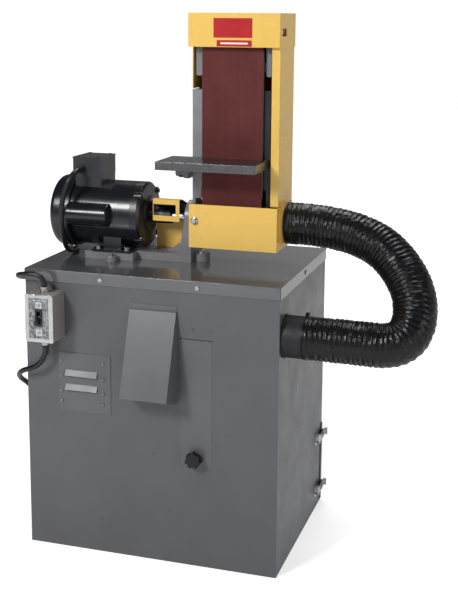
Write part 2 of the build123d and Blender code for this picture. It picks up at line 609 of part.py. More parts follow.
with BuildPart() as base_casting:
    block(PAD_X, (AXIS_Y - PAD_HALF, AXIS_Y + PAD_HALF), (LID_TOP, BASE_TOP))
    block((PAD_X[1], POST_X[1]), (AXIS_Y - POST_HALF, AXIS_Y + POST_HALF), (LID_TOP, BASE_TOP))
    rod_z(BASE_BOLTS[2][0] - 4, AXIS_Y, (LID_TOP, BASE_TOP), TAIL_R)
    block(
        (PAD_X[0] + 18, PAD_X[1] - 40),
        (AXIS_Y - 40, AXIS_Y + 40),
        (LID_TOP - 1, BASE_TOP - 8),
        Mode.SUBTRACT,
    )
    block((PAD_X[1], 0), (AXIS_Y - 30, AXIS_Y + 30), (LID_TOP - 1, BASE_TOP - 8), Mode.SUBTRACT)
    for x, y, z in BASE_BOLTS[:2]:
        inward = AXIS_Y + (PAD_HALF - 1) * (1 if y > AXIS_Y else -1)
        rod_z(x, y, (LID_TOP, LID_TOP + EAR_T), 14)
        block((x - 14, x + 14), sorted((y, inward)), (LID_TOP, LID_TOP + EAR_T))
    for x, y, z in BASE_BOLTS:
        rod_z(x, y, (LID_TOP - 1, BASE_TOP + 1), BOLT_HOLE_R, Mode.SUBTRACT)
    for x, y, z in FOOT_BOLTS:
        rod_z(x, y, (LID_TOP - 1, BASE_TOP + 1), BOLT_HOLE_R, Mode.SUBTRACT)
    # upright that carries the arm pivot
    with BuildSketch(Plane.XZ.offset(-(AXIS_Y + POST_HALF))):
        Polygon(
            (POST_X[0], BASE_TOP),
            (POST_X[1], BASE_TOP),
            (POST_X[1], AXIS_Z),
            (POST_TOP_LEFT, AXIS_Z),
            align=None,
        )
    extrude(amount=2 * POST_HALF)
    rod_x((POST_TOP_LEFT, POST_X[1]), AXIS_Y, AXIS_Z, POST_HALF)
    # web between the upright and the bar
    with BuildSketch(Plane.XZ.offset(-(AXIS_Y + WEB_T / 2))):
        Polygon(
            (POST_TOP_LEFT, BASE_TOP + WEB_RISE),
            (POST_TOP_LEFT, BASE_TOP),
            (POST_X[0] - WEB_REACH, BASE_TOP),
            align=None,
        )
    extrude(amount=WEB_T)
    rod_x((POST_X[0] - 1, POST_X[1] + 1), AXIS_Y, AXIS_Z, PIVOT_R, Mode.SUBTRACT)
save(base_casting, "base_casting")


with BuildPart() as base_bolts:
    for x, y, z in BASE_BOLTS + FOOT_BOLTS:
        with BuildSketch(Plane.XY.offset(z)):
            with Locations((x, y)):
                RegularPolygon(BOLT_ACROSS / 2, 6, major_radius=False)
        extrude(amount=BOLT_HEAD)
        rod_z(x, y, (z - BOLT_GRIP, z), BOLT_HOLE_R - 0.2)
save(base_bolts, "base_bolts")


# ---------------------------------------------------------------- motor
FRAME_R = 84.0
FRAME_WALL = 4.0
FAN_COVER_R = 92.0
FAN_COVER_X = (-325.0, -285.0)
REAR_BELL_X = (-285.0, -272.0)
FRAME_X = (-272.0, -108.0)
DRIVE_BELL_X = (-108.0, -78.0)
MOTOR_SHAFT_R = 7.94
MOTOR_SHAFT_X = (-316.0, -50.0)
BEARING_R = 17.5
CORE_X = (-235.0, -145.0)
STATOR_BORE = 48.0
BELL_BOLT_R = 5.0
BELL_BOLT_CIRCLE = 76.0
BELL_BOLTS = [
    (AXIS_Y + BELL_BOLT_CIRCLE * sin(turn), AXIS_Z + BELL_BOLT_CIRCLE * cos(turn))
    for turn in (pi / 4, 3 * pi / 4, 5 * pi / 4, 7 * pi / 4)
]

with BuildPart() as motor_frame:
    # welded feet
    for sy in (-1, 1):
        block(
            (MOTOR_MID_X - 52, MOTOR_MID_X + 52),
            sorted((AXIS_Y + sy * 78, AXIS_Y + sy * 34)),
            (BASE_TOP, BASE_TOP + 6),
        )
        block(
            (MOTOR_MID_X - 24, MOTOR_MID_X + 24),
            sorted((AXIS_Y + sy * 66, AXIS_Y + sy * 34)),
            (BASE_TOP, AXIS_Z - 50),
        )
    for x, y, z in FOOT_BOLTS:
        rod_z(x, y, (BASE_TOP - 1, BASE_TOP + 7), BOLT_HOLE_R, Mode.SUBTRACT)
    # rolled shell and the rear bell behind it
    rod_x(FRAME_X, AXIS_Y, AXIS_Z, FRAME_R)
    rod_x(REAR_BELL_X, AXIS_Y, AXIS_Z, FAN_COVER_R - 2)
    rod_x((FRAME_X[0], FRAME_X[1] + 1), AXIS_Y, AXIS_Z, FRAME_R - FRAME_WALL, Mode.SUBTRACT)
    rod_x((REAR_BELL_X[0] - 1, REAR_BELL_X[1] + 1), AXIS_Y, AXIS_Z, BEARING_R, Mode.SUBTRACT)
save(motor_frame, "motor_frame")

with BuildPart() as motor_stator:
    ring_x(CORE_X, AXIS_Y, AXIS_Z, FRAME_R - FRAME_WALL, STATOR_BORE)
    for x in (CORE_X[0] - 18, CORE_X[1]):
        rod_x((x, x + 18), AXIS_Y, AXIS_Z, 70)
        rod_x((x - 1, x + 19), AXIS_Y, AXIS_Z, 52, Mode.SUBTRACT)
save(motor_stator, "motor_stator")

with BuildPart() as drive_bell:
    with BuildSketch(Plane.XZ.offset(-AXIS_Y)):
        Polygon(
            (DRIVE_BELL_X[0], AXIS_Z + BEARING_R),
            (DRIVE_BELL_X[0], AXIS_Z + FRAME_R),
            (DRIVE_BELL_X[1] - 12, AXIS_Z + FRAME_R),
            (DRIVE_BELL_X[1] - 6, AXIS_Z + FRAME_R - 6),
            (DRIVE_BELL_X[1] - 4, AXIS_Z + 50),
            (DRIVE_BELL_X[1], AXIS_Z + 44),
            (DRIVE_BELL_X[1], AXIS_Z + 9),
            (DRIVE_BELL_X[1] - 12, AXIS_Z + 9),
            (DRIVE_BELL_X[1] - 12, AXIS_Z + BEARING_R),
            align=None,
        )
    revolve(axis=Axis((0, AXIS_Y, AXIS_Z), (1, 0, 0)))
    # corner bosses and the heads of the through bolts
    for y, z in BELL_BOLTS:
        rod_x((DRIVE_BELL_X[0] + 6, DRIVE_BELL_X[1] - 4), y, z, BELL_BOLT_R + 5)
        rod_x((DRIVE_BELL_X[0] + 6, DRIVE_BELL_X[1]), y, z, BELL_BOLT_R)
save(drive_bell, "drive_bell")

with BuildPart() as fan_cover:
    rod_x(FAN_COVER_X, AXIS_Y, AXIS_Z, FAN_COVER_R)
    fillet(fan_cover.edges().group_by(Axis.X)[0], 14)
    rod_x((FAN_COVER_X[0] + 1.6, FAN_COVER_X[1] + 1), AXIS_Y, AXIS_Z, FAN_COVER_R - 14, Mode.SUBTRACT)
    rod_x((FAN_COVER_X[0] + 14, FAN_COVER_X[1] + 1), AXIS_Y, AXIS_Z, FAN_COVER_R - 1.6, Mode.SUBTRACT)
    for slot in range(12):
        with Locations(Location((FAN_COVER_X[0], AXIS_Y, AXIS_Z), (30 * slot, 0, 0))):
            with Locations((0, 0, 45)):
                Box(6, 8, 44, mode=Mode.SUBTRACT)
save(fan_cover, "fan_cover")

with BuildPart() as motor_rotor:
    rod_x(CORE_X, AXIS_Y, AXIS_Z, STATOR_BORE - 0.6)
    rod_x(MOTOR_SHAFT_X, AXIS_Y, AXIS_Z, MOTOR_SHAFT_R)
save(motor_rotor, "motor_rotor")

with BuildPart() as motor_bearings:
    for x in (REAR_BELL_X, (DRIVE_BELL_X[0], DRIVE_BELL_X[0] + 13)):
        rod_x(x, AXIS_Y, AXIS_Z, BEARING_R)
        rod_x((x[0] - 1, x[1] + 1), AXIS_Y, AXIS_Z, MOTOR_SHAFT_R + RUNNING_FIT, Mode.SUBTRACT)
save(motor_bearings, "motor_bearings")

with BuildPart() as motor_fan:
    rod_x((-312, -292), AXIS_Y, AXIS_Z, 18)
    rod_x((-295, -292), AXIS_Y, AXIS_Z, 60)
    for blade in range(8):
        with Locations(Location((-300, AXIS_Y, AXIS_Z), (45 * blade, 0, 0))):
            with Locations((0, 0, 42)):
                Box(12, 3, 52)
    rod_x((-313, -291), AXIS_Y, AXIS_Z, MOTOR_SHAFT_R, Mode.SUBTRACT)
save(motor_fan, "motor_fan")

CAPACITOR_X = (-272.0, -160.0)
CAPACITOR_Y, CAPACITOR_Z = AXIS_Y - 82, AXIS_Z + 6

with BuildPart() as capacitor_cover:
    rod_x(CAPACITOR_X, CAPACITOR_Y, CAPACITOR_Z, 29)
    fillet(capacitor_cover.edges().filter_by(GeomType.CIRCLE), 4)
    block(
        (CAPACITOR_X[0] + 4, CAPACITOR_X[1] - 4),
        (CAPACITOR_Y, CAPACITOR_Y + 22),
        (CAPACITOR_Z - 24, CAPACITOR_Z + 24),
    )
    rod_x(FRAME_X, AXIS_Y, AXIS_Z, FRAME_R, Mode.SUBTRACT)
save(capacitor_cover, "capacitor_cover")

CONDUIT_SCREWS = [(CONDUIT_X[1] - 10, CONDUIT_Y[0] + 10), (CONDUIT_X[1] - 10, CONDUIT_Y[1] - 10)]
CONDUIT_SCREWS += [(CONDUIT_X[0] + 10, y) for x, y in CONDUIT_SCREWS]

with BuildPart() as conduit_box:
    # neck that fits over the shell, under the box proper
    block(
        (CONDUIT_X[0] + 6, CONDUIT_X[1]),
        (CONDUIT_Y[0] + 2, CONDUIT_Y[1] - 2),
        (AXIS_Z + 60, CONDUIT_Z[0]),
    )
    rod_x(FRAME_X, AXIS_Y, AXIS_Z, FRAME_R, Mode.SUBTRACT)
    block(CONDUIT_X, CONDUIT_Y, CONDUIT_Z)
    block(
        (CONDUIT_X[0] + 3, CONDUIT_X[1] - 3),
        (CONDUIT_Y[0] + 3, CONDUIT_Y[1] - 3),
        (CONDUIT_Z[0] + 3, CONDUIT_Z[1] - 3),
        Mode.SUBTRACT,
    )
    hole = (CONDUIT_Y[0] - 1, CONDUIT_Y[0] + 5)
    rod_y(MOTOR_CORD_X, hole, MOTOR_CORD_Z, GLAND_R - 2.8, Mode.SUBTRACT)
    # lid, a little proud of the box, and its screw heads
    block(
        (CONDUIT_X[0] - 1, CONDUIT_X[1] + 1),
        (CONDUIT_Y[0] - 1, CONDUIT_Y[1] + 1),
        (CONDUIT_Z[1], CONDUIT_Z[1] + 3),
    )
    for x, y in CONDUIT_SCREWS:
        rod_z(x, y, (CONDUIT_Z[1] + 2, CONDUIT_Z[1] + 5), 4)
save(conduit_box, "conduit_box")


# ---------------------------------------------------------------- coupling and its guard
HUB_R = 20.0
COUPLING_X = (-72.0, -22.0)
DRIVE_SHAFT_R = 9.5
SPIDER = 8.0
HUB_LENGTH = (COUPLING_X[1] - COUPLING_X[0] - SPIDER) / 2
SPIDER_X = (COUPLING_X[0] + HUB_LENGTH, COUPLING_X[1] - HUB_LENGTH)

with BuildPart() as coupling_hubs:
    ring_x((COUPLING_X[0], SPIDER_X[0]), AXIS_Y, AXIS_Z, HUB_R, MOTOR_SHAFT_R)
    rod_x((SPIDER_X[1], COUPLING_X[1]), AXIS_Y, AXIS_Z, HUB_R)
    rod_x((SPIDER_X[1] - 1, COUPLING_X[1] + 1), AXIS_Y, AXIS_Z, DRIVE_SHAFT_R, Mode.SUBTRACT)
save(coupling_hubs, "coupling_hubs")

with BuildPart() as coupling_spider:
    rod_x(SPIDER_X, AXIS_Y, AXIS_Z, HUB_R)
    rod_x((SPIDER_X[0] - 1, SPIDER_X[1] + 1), AXIS_Y, AXIS_Z, 11, Mode.SUBTRACT)
save(coupling_spider, "coupling_spider")

GUARD_X = (-63.0, 8.0)
GUARD_BACK_X = DRIVE_BELL_X[1] + 1
GUARD_Y = (AXIS_Y - 32, AXIS_Y + 34)
GUARD_Z = (AXIS_Z - 9, AXIS_Z + 46)
GUARD_SHELF = 20.0  # flat part of the top, before it slopes down to the back
GUARD_FALL = 17.0
GUARD_SHEET = 1.6

with BuildPart() as coupling_guard:
    with BuildSketch(Plane.YZ.offset(GUARD_X[0])):
        Polygon(
            (GUARD_Y[0], GUARD_Z[0]),
            (GUARD_Y[0], GUARD_Z[1]),
            (GUARD_Y[0] + GUARD_SHELF, GUARD_Z[1]),
            (GUARD_Y[1], GUARD_Z[1] - GUARD_FALL),
            (GUARD_Y[1], BASE_TOP),
            (GUARD_Y[1] - GUARD_SHEET, BASE_TOP),
            (GUARD_Y[1] - GUARD_SHEET, GUARD_Z[1] - GUARD_FALL - GUARD_SHEET),
            (GUARD_Y[0] + GUARD_SHELF, GUARD_Z[1] - GUARD_SHEET),
            (GUARD_Y[0] + GUARD_SHEET, GUARD_Z[1] - GUARD_SHEET),
            (GUARD_Y[0] + GUARD_SHEET, GUARD_Z[0]),
            align=None,
        )
    extrude(amount=GUARD_X[1] - GUARD_X[0])
    # the back reaches on to the motor's bell; its foot is bent outward on the base
    block(
        (GUARD_BACK_X, GUARD_X[0]),
        (GUARD_Y[1] - GUARD_SHEET, GUARD_Y[1]),
        (BASE_TOP, GUARD_Z[1] - GUARD_FALL),
    )
    block(GUARD_X, (GUARD_Y[1] - GUARD_SHEET, AXIS_Y + POST_HALF), (BASE_TOP, BASE_TOP + GUARD_SHEET))
    block(
        (GUARD_X[0] + 1.5, GUARD_X[1] - 10),
        (GUARD_Y[0] - 1, GUARD_Y[0] + GUARD_SHEET + 1),
        (AXIS_Z + 5, AXIS_Z + 33.5),
        Mode.SUBTRACT,
    )
    for x in (GUARD_X[0] + 10, GUARD_X[1] - 14):
        rod_z(x, GUARD_Y[1] + 5, (BASE_TOP, BASE_TOP + GUARD_SHEET + 2.5), 4)
save(coupling_guard, "coupling_guard")


# ---------------------------------------------------------------- drive shaft and drum
HUB_TUBE_R = PIVOT_R - RUNNING_FIT
SHAFT_BEARING_R = 22.0
ARM_LEFT_X = (48.0, 56.0)
ARM_RIGHT_X = (236.0, 246.0)
DRIVE_SHAFT_X = (SPIDER_X[1], ARM_RIGHT_X[1] + 6)
DRUM_X = (BELT_LEFT - 1, BELT_RIGHT + 1)
CROWN = 0.6
BEARING_X = ((28.0, 42.0), (ARM_RIGHT_X[0] - 1, ARM_RIGHT_X[1] + 1))


def belt_drum(radius, y, z, bore, name):
    """Crowned roller: full radius at mid-width, CROWN less at the rims."""
    with BuildPart() as drum:
        with BuildSketch(Plane.XZ.offset(-y)) as profile:
            Polygon(
                (DRUM_X[0], z + bore),
                (DRUM_X[0], z + radius - CROWN),
                (BELT_X - 25, z + radius),
                (BELT_X + 25, z + radius),
                (DRUM_X[1], z + radius - CROWN),
                (DRUM_X[1], z + bore),
                align=None,
            )
        revolve(profile.sketch, axis=Axis((0, y, z), (1, 0, 0)))
        for x in ((DRUM_X[0] - 1, DRUM_X[0] + 8), (DRUM_X[1] - 8, DRUM_X[1] + 1)):
            with BuildSketch(Plane.YZ.offset(x[0])) as recess:
                with Locations((y, z)):
                    Circle(radius - 8)
                    Circle(bore + 7, mode=Mode.SUBTRACT)
            extrude(recess.sketch, amount=x[1] - x[0], mode=Mode.SUBTRACT)
    save(drum, name)


belt_drum(DRIVE_R, AXIS_Y, AXIS_Z, DRIVE_SHAFT_R, "drive_drum")

with BuildPart() as drive_shaft:
    rod_x(DRIVE_SHAFT_X, AXIS_Y, AXIS_Z, DRIVE_SHAFT_R)
save(drive_shaft, "drive_shaft")

with BuildPart() as shaft_bearings:
    for x in BEARING_X:
        rod_x(x, AXIS_Y, AXIS_Z, SHAFT_BEARING_R)
        rod_x((x[0] - 1, x[1] + 1), AXIS_Y, AXIS_Z, DRIVE_SHAFT_R + RUNNING_FIT, Mode.SUBTRACT)
save(shaft_bearings, "shaft_bearings")


# ---------------------------------------------------------------- sanding arm
ARM_TOP = 1148.0
ARM_FRONT = BELT_INNER_Y + 8
ARM_FACE_X = (48.0, 71.0)
ARM_DEPTH = 46.0
ARM_BACK = ARM_FRONT + ARM_DEPTH
WEB_Z = (AXIS_Z + 85, ARM_TOP)
PLATEN_T = 6.0
PLATEN_GAP = 0.5
PLATEN_Y = (BELT_INNER_Y + PLATEN_GAP, BELT_INNER_Y + PLATEN_GAP + PLATEN_T)
PLATEN_Z = (AXIS_Z + 62, IDLER_Z - 46)
PLATEN_STUDS = [(x, z) for x in (BELT_X - 55, BELT_X + 55) for z in (930.0, 1110.0)]
GUIDE_BORE = 8.0
TAKE_UP_Y = IDLER_Y

with BuildPart() as arm_frame:
    # left cheek with its front flange, and the tube that turns in the base upright
    block(ARM_LEFT_X, (ARM_FRONT, ARM_BACK), (AXIS_Z, ARM_TOP))
    block(ARM_FACE_X, (ARM_FRONT, ARM_FRONT + 8), (AXIS_Z + 58, ARM_TOP))
    rod_x(ARM_LEFT_X, AXIS_Y, AXIS_Z, 46)
    rod_x((26, ARM_LEFT_X[1]), AXIS_Y, AXIS_Z, HUB_TUBE_R)
    # right cheek
    block(ARM_RIGHT_X, (ARM_FRONT, ARM_BACK), (AXIS_Z, ARM_TOP))
    rod_x(ARM_RIGHT_X, AXIS_Y, AXIS_Z, 44)
    # cross web behind the platen and the take-up guide on it
    block((ARM_LEFT_X[0], ARM_RIGHT_X[1]), (ARM_FRONT, ARM_FRONT + 10), WEB_Z)
    block((BELT_X - 18, BELT_X + 18), (ARM_FRONT, TAKE_UP_Y + 16), (ARM_TOP - 40, ARM_TOP))
    # bores
    rod_x((20, 60), AXIS_Y, AXIS_Z, SHAFT_BEARING_R, Mode.SUBTRACT)
    rod_x((230, 250), AXIS_Y, AXIS_Z, SHAFT_BEARING_R, Mode.SUBTRACT)
    rod_z(BELT_X, TAKE_UP_Y, (ARM_TOP - 50, ARM_TOP + 1), GUIDE_BORE + RUNNING_FIT, Mode.SUBTRACT)
    for x, z in PLATEN_STUDS:
        rod_y(x, (ARM_FRONT - 1, ARM_FRONT + 11), z, 3, Mode.SUBTRACT)
save(arm_frame, "arm_frame")

with BuildPart() as platen:
    block((BELT_LEFT - 1, BELT_RIGHT + 1), PLATEN_Y, PLATEN_Z)
    block((BELT_X - 70, BELT_X + 70), (PLATEN_Y[1], ARM_FRONT), (WEB_Z[0] + 10, WEB_Z[1] - 10))
    fillet(platen.edges().filter_by(Axis.X).group_by(Axis.Y)[0], 3)
    for x, z in PLATEN_STUDS:
        rod_y(x, (ARM_FRONT - 1, ARM_FRONT + 16), z, 2.8)
save(platen, "platen")


# ---------------------------------------------------------------- idler and take-up
YOKE_LEFT_X = (56.5, 72.5)
YOKE_RIGHT_X = (232.0, 246.0)
YOKE_Y = (IDLER_Y - 24, IDLER_Y + 12)
YOKE_Z = (1181.0, IDLER_Z + 18)
BRIDGE_Z = (YOKE_Z[0] + 12, YOKE_Z[0] + 34)
AXLE_R = 8.0
TAKE_UP_R = 8.0

with BuildPart() as idler_yoke:
    for x in (YOKE_LEFT_X, YOKE_RIGHT_X):
        block(x, YOKE_Y, YOKE_Z)
    fillet(idler_yoke.edges().filter_by(Axis.Y).group_by(Axis.Z)[0], 5)
    block((YOKE_LEFT_X[0], YOKE_RIGHT_X[1]), (IDLER_Y - 18, IDLER_Y + 10), BRIDGE_Z)
    rod_z(BELT_X, TAKE_UP_Y, (ARM_TOP - 75, BRIDGE_Z[0]), TAKE_UP_R)
    rod_x((YOKE_LEFT_X[0], YOKE_RIGHT_X[1]), IDLER_Y, IDLER_Z, AXLE_R)
save(idler_yoke, "idler_yoke")

belt_drum(IDLER_R, IDLER_Y, IDLER_Z, AXLE_R + RUNNING_FIT, "idler_drum")

SCREW_HEAD_X = YOKE_RIGHT_X[1] + 14
with BuildPart() as tracking_screw:
    with BuildSketch(Plane.YZ.offset(SCREW_HEAD_X)):
        with Locations((IDLER_Y, IDLER_Z)):
            RegularPolygon(8, 6, major_radius=False)
    extrude(amount=9)
    rod_x((YOKE_RIGHT_X[1], SCREW_HEAD_X), IDLER_Y, IDLER_Z, 5)
save(tracking_screw, "tracking_screw")

SPRING_Z = (ARM_TOP, BRIDGE_Z[0])
SPRING_R, SPRING_WIRE, SPRING_TURNS = 13.0, 1.6, 5
with BuildPart() as take_up_spring:
    height = SPRING_Z[1] - SPRING_Z[0] - 2 * SPRING_WIRE - 0.6
    start = SPRING_Z[0] + SPRING_WIRE + 0.3
    with BuildLine() as coil_line:
        Helix(
            pitch=height / SPRING_TURNS,
            height=height,
            radius=SPRING_R,
            center=(BELT_X, TAKE_UP_Y, start),
        )
    with BuildSketch(Plane(coil_line.line @ 0, z_dir=coil_line.line % 0)):
        Circle(SPRING_WIRE)
    sweep(path=coil_line.line)
save(take_up_spring, "take_up_spring")


# ---------------------------------------------------------------- abrasive belt
def belt_outline(inflate):
    """Side view of the belt loop, inflate millimetres outside the drums."""
    lower, upper = DRIVE_R + inflate, IDLER_R + inflate
    span = sqrt((IDLER_Y - AXIS_Y) ** 2 + (IDLER_Z - AXIS_Z) ** 2)
    lean = (DRIVE_R - IDLER_R) / span
    along = ((IDLER_Y - AXIS_Y) / span, (IDLER_Z - AXIS_Z) / span)
    across = (along[1], -along[0])
    normal = [lean * a + sqrt(1 - lean**2) * c for a, c in zip(along, across)]
    with BuildSketch(Plane.YZ.offset(BELT_LEFT)) as outline:
        with Locations((AXIS_Y, AXIS_Z)):
            Circle(lower)
        with Locations((IDLER_Y, IDLER_Z)):
            Circle(upper)
        Polygon(
            (AXIS_Y - lower, AXIS_Z),
            (IDLER_Y - upper, IDLER_Z),
            (IDLER_Y, IDLER_Z),
            (IDLER_Y + upper * normal[0], IDLER_Z + upper * normal[1]),
            (AXIS_Y + lower * normal[0], AXIS_Z + lower * normal[1]),
            (AXIS_Y, AXIS_Z),
            align=None,
        )
    return outline.sketch


BELT_SEAT = 0.3
with BuildPart() as sanding_belt:
    extrude(belt_outline(BELT_SEAT + BELT_T), amount=BELT_W)
    extrude(belt_outline(BELT_SEAT), amount=BELT_W, mode=Mode.SUBTRACT)
save(sanding_belt, "sanding_belt")


# ---------------------------------------------------------------- yellow guards on the arm
GUARD_T = 1.5
HOUSING_X = (48.0, 272.0)
HOUSING_FRONT = BELT_INNER_Y - 9
HOUSING_BACK = 58.0
HOUSING_BOTTOM = 871.0
POST_LIP = 20.0
HEADER_FRONT = HOUSING_FRONT - 12
HEADER_Z = (1251.0, 1331.0)
SLOT_Y, SLOT_Z = (-64.0, -22.0), (IDLER_Z - 13, IDLER_Z + 5)
SCOOP_FRONT = HEADER_FRONT - 3
SCOOP_BOTTOM = AXIS_Z - 61
SCOOP_X = (49.5, 273.0)
OUTLET_BORE = SPIGOT_R - 1.5
OUTLET_X = (SCOOP_X[1], SCOOP_X[1] + 7)
COVER_SCREW_X, COVER_SCREW_Z = 64.0, AXIS_Z + 6

with BuildPart() as belt_housing:
    right = (HOUSING_X[1] - GUARD_T, HOUSING_X[1])
    top = HEADER_Z[1] - GUARD_T - CLEAR
    block(HOUSING_X, (HOUSING_BACK - GUARD_T, HOUSING_BACK), (HOUSING_BOTTOM, top))
    block(right, (HOUSING_FRONT, HOUSING_BACK), (HOUSING_BOTTOM, top))
    block(
        (HOUSING_X[1] - POST_LIP, HOUSING_X[1]),
        (HOUSING_FRONT, HOUSING_FRONT + GUARD_T),
        (HOUSING_BOTTOM, HEADER_Z[0] + 10),
    )
    block(
        (HOUSING_X[0], HOUSING_X[0] + 16),
        (ARM_BACK + 1, ARM_BACK + 1 + GUARD_T),
        (HOUSING_BOTTOM + 20, ARM_TOP),
    )
    block((HOUSING_X[0], HOUSING_X[0] + GUARD_T), (ARM_BACK + 1, HOUSING_BACK), (HOUSING_BOTTOM, top))
    block((HOUSING_X[0], HOUSING_X[0] + GUARD_T), (ARM_FRONT, HOUSING_BACK), (ARM_TOP + 2, top))
    block(
        (right[0] - 1, right[1] + 1),
        SLOT_Y,
        SLOT_Z,
        Mode.SUBTRACT,
    )
save(belt_housing, "belt_housing")

with BuildPart() as header_cover:
    outer_x = (HOUSING_X[0] - CLEAR - GUARD_T, HOUSING_X[1] + CLEAR + GUARD_T)
    block(outer_x, (HEADER_FRONT, HOUSING_BACK + CLEAR + GUARD_T), HEADER_Z)
    fillet(header_cover.edges().filter_by(Axis.Z).group_by(Axis.Y)[0], 1.4)
    block(
        (outer_x[0] + GUARD_T, outer_x[1] - GUARD_T),
        (HEADER_FRONT + GUARD_T, HOUSING_BACK + CLEAR),
        (HEADER_Z[0] - 1, HEADER_Z[1] - GUARD_T),
        Mode.SUBTRACT,
    )
    block((outer_x[1] - GUARD_T - 1, outer_x[1] + 1), SLOT_Y, SLOT_Z, Mode.SUBTRACT)
save(header_cover, "header_cover")

LABEL_X, LABEL_Z = (110.0, 206.0), (1273.0, 1319.0)
STRIP_X, STRIP_Z = (118.0, 205.0), (1252.5, 1267.5)
with BuildPart() as header_labels:
    block(LABEL_X, (HEADER_FRONT - 0.4, HEADER_FRONT), LABEL_Z)
    block(STRIP_X, (HEADER_FRONT - 0.4, HEADER_FRONT), STRIP_Z)
save(header_labels, "header_labels")

SCOOP_BACK_CUT = 40.0
with BuildPart() as lower_cover:
    profile = [
        (SCOOP_FRONT, SCOOP_BOTTOM),
        (SCOOP_FRONT, HOUSING_BOTTOM - 1),
        (HOUSING_BACK, HOUSING_BOTTOM - 1),
        (HOUSING_BACK, SCOOP_BOTTOM + SCOOP_BACK_CUT),
        (HOUSING_BACK - SCOOP_BACK_CUT, SCOOP_BOTTOM),
    ]
    with BuildSketch(Plane.YZ.offset(SCOOP_X[0])):
        Polygon(*profile, align=None)
    extrude(amount=SCOOP_X[1] - SCOOP_X[0])
    with BuildSketch(Plane.YZ.offset(SCOOP_X[0] - 1)):
        Polygon(
            (SCOOP_FRONT + GUARD_T, SCOOP_BOTTOM + GUARD_T),
            (SCOOP_FRONT + GUARD_T, HOUSING_BOTTOM),
            (HOUSING_BACK - GUARD_T, HOUSING_BOTTOM),
            (HOUSING_BACK - GUARD_T, SCOOP_BOTTOM + SCOOP_BACK_CUT + 1),
            (HOUSING_BACK - SCOOP_BACK_CUT - 1, SCOOP_BOTTOM + GUARD_T),
            align=None,
        )
    extrude(amount=SCOOP_X[1] - SCOOP_X[0] - GUARD_T + 1, mode=Mode.SUBTRACT)
    block(
        (SCOOP_X[0], ARM_LEFT_X[1]),
        (SCOOP_FRONT + GUARD_T, SCOOP_FRONT + 26),
        (SCOOP_BOTTOM + GUARD_T, HOUSING_BOTTOM - 1),
    )
    block(
        (SCOOP_X[0] + GUARD_T, ARM_LEFT_X[1] + 1),
        (SCOOP_FRONT + GUARD_T, SCOOP_FRONT + 27),
        (SCOOP_BOTTOM, HOUSING_BOTTOM),
        Mode.SUBTRACT,
    )
    # dust outlet, coaxial with the pivot so that the hose stays put when the arm tilts
    rod_x((OUTLET_X[0] - 1, OUTLET_X[0] + 2), AXIS_Y, AXIS_Z, SPIGOT_R + 8)
    rod_x(OUTLET_X, AXIS_Y, AXIS_Z, SPIGOT_R)
    rod_x((OUTLET_X[0] - 3, OUTLET_X[1] + 1), AXIS_Y, AXIS_Z, OUTLET_BORE, Mode.SUBTRACT)
    # cover screw and its washer
    rod_y(COVER_SCREW_X, (SCOOP_FRONT - 2, SCOOP_FRONT), COVER_SCREW_Z, 9)
    rod_y(COVER_SCREW_X, (SCOOP_FRONT - 8, SCOOP_FRONT - 2), COVER_SCREW_Z, 6.5)
save(lower_cover, "lower_cover")


# ---------------------------------------------------------------- work table
TABLE_X = (-4.0, 243.0)
TABLE_TOP, TABLE_T = 983.0, 20.0
TABLE_Y = (-182.0, ARM_FRONT - 2)
NOTCH_X = (BELT_LEFT - 3, BELT_RIGHT + 3)
NOTCH_Y = BELT_INNER_Y - BELT_T - BELT_SEAT - 2
TABLE_AXIS_Y, TABLE_AXIS_Z = -84.0, 946.0
LUG_X = (26.0, 36.0)
BRACKET_X = (36.3, 48.0)

with BuildPart() as work_table:
    block(TABLE_X, TABLE_Y, (TABLE_TOP - TABLE_T, TABLE_TOP))
    fillet(work_table.edges().filter_by(Axis.Z).group_by(Axis.Y)[0], 2)
    fillet(work_table.edges().group_by(Axis.Z)[-1], 1)
    block(NOTCH_X, (NOTCH_Y, TABLE_Y[1] + 1), (TABLE_TOP - TABLE_T - 1, TABLE_TOP + 1), Mode.SUBTRACT)
    block(
        (TABLE_X[0] + 14, TABLE_X[1] - 14),
        (TABLE_Y[0] + 14, NOTCH_Y - 14),
        (TABLE_TOP - TABLE_T - 1, TABLE_TOP - 10),
        Mode.SUBTRACT,
    )
    with BuildSketch(Plane.YZ.offset(LUG_X[0])):
        Polygon(
            (TABLE_AXIS_Y - 58, TABLE_TOP - 9),
            (TABLE_AXIS_Y - 12, TABLE_AXIS_Z - 10),
            (TABLE_AXIS_Y + 10, TABLE_AXIS_Z - 10),
            (TABLE_AXIS_Y + 10, TABLE_TOP - 9),
            align=None,
        )
    extrude(amount=LUG_X[1] - LUG_X[0])
    # tapered rib across the underside, in front of the lug
    with BuildSketch(Plane.XZ.offset(-(TABLE_AXIS_Y - 28))):
        Polygon(
            (12, TABLE_TOP - 10),
            (80, TABLE_TOP - 10),
            (58, TABLE_AXIS_Z),
            (34, TABLE_AXIS_Z),
            align=None,
        )
    extrude(amount=12)
    rod_x((LUG_X[0] - 1, LUG_X[1] + 1), TABLE_AXIS_Y, TABLE_AXIS_Z, 5 + RUNNING_FIT, Mode.SUBTRACT)
    rod_x((TABLE_X[1] - 12, TABLE_X[1] + 1), -118, TABLE_TOP - 9, 3, Mode.SUBTRACT)
save(work_table, "work_table")

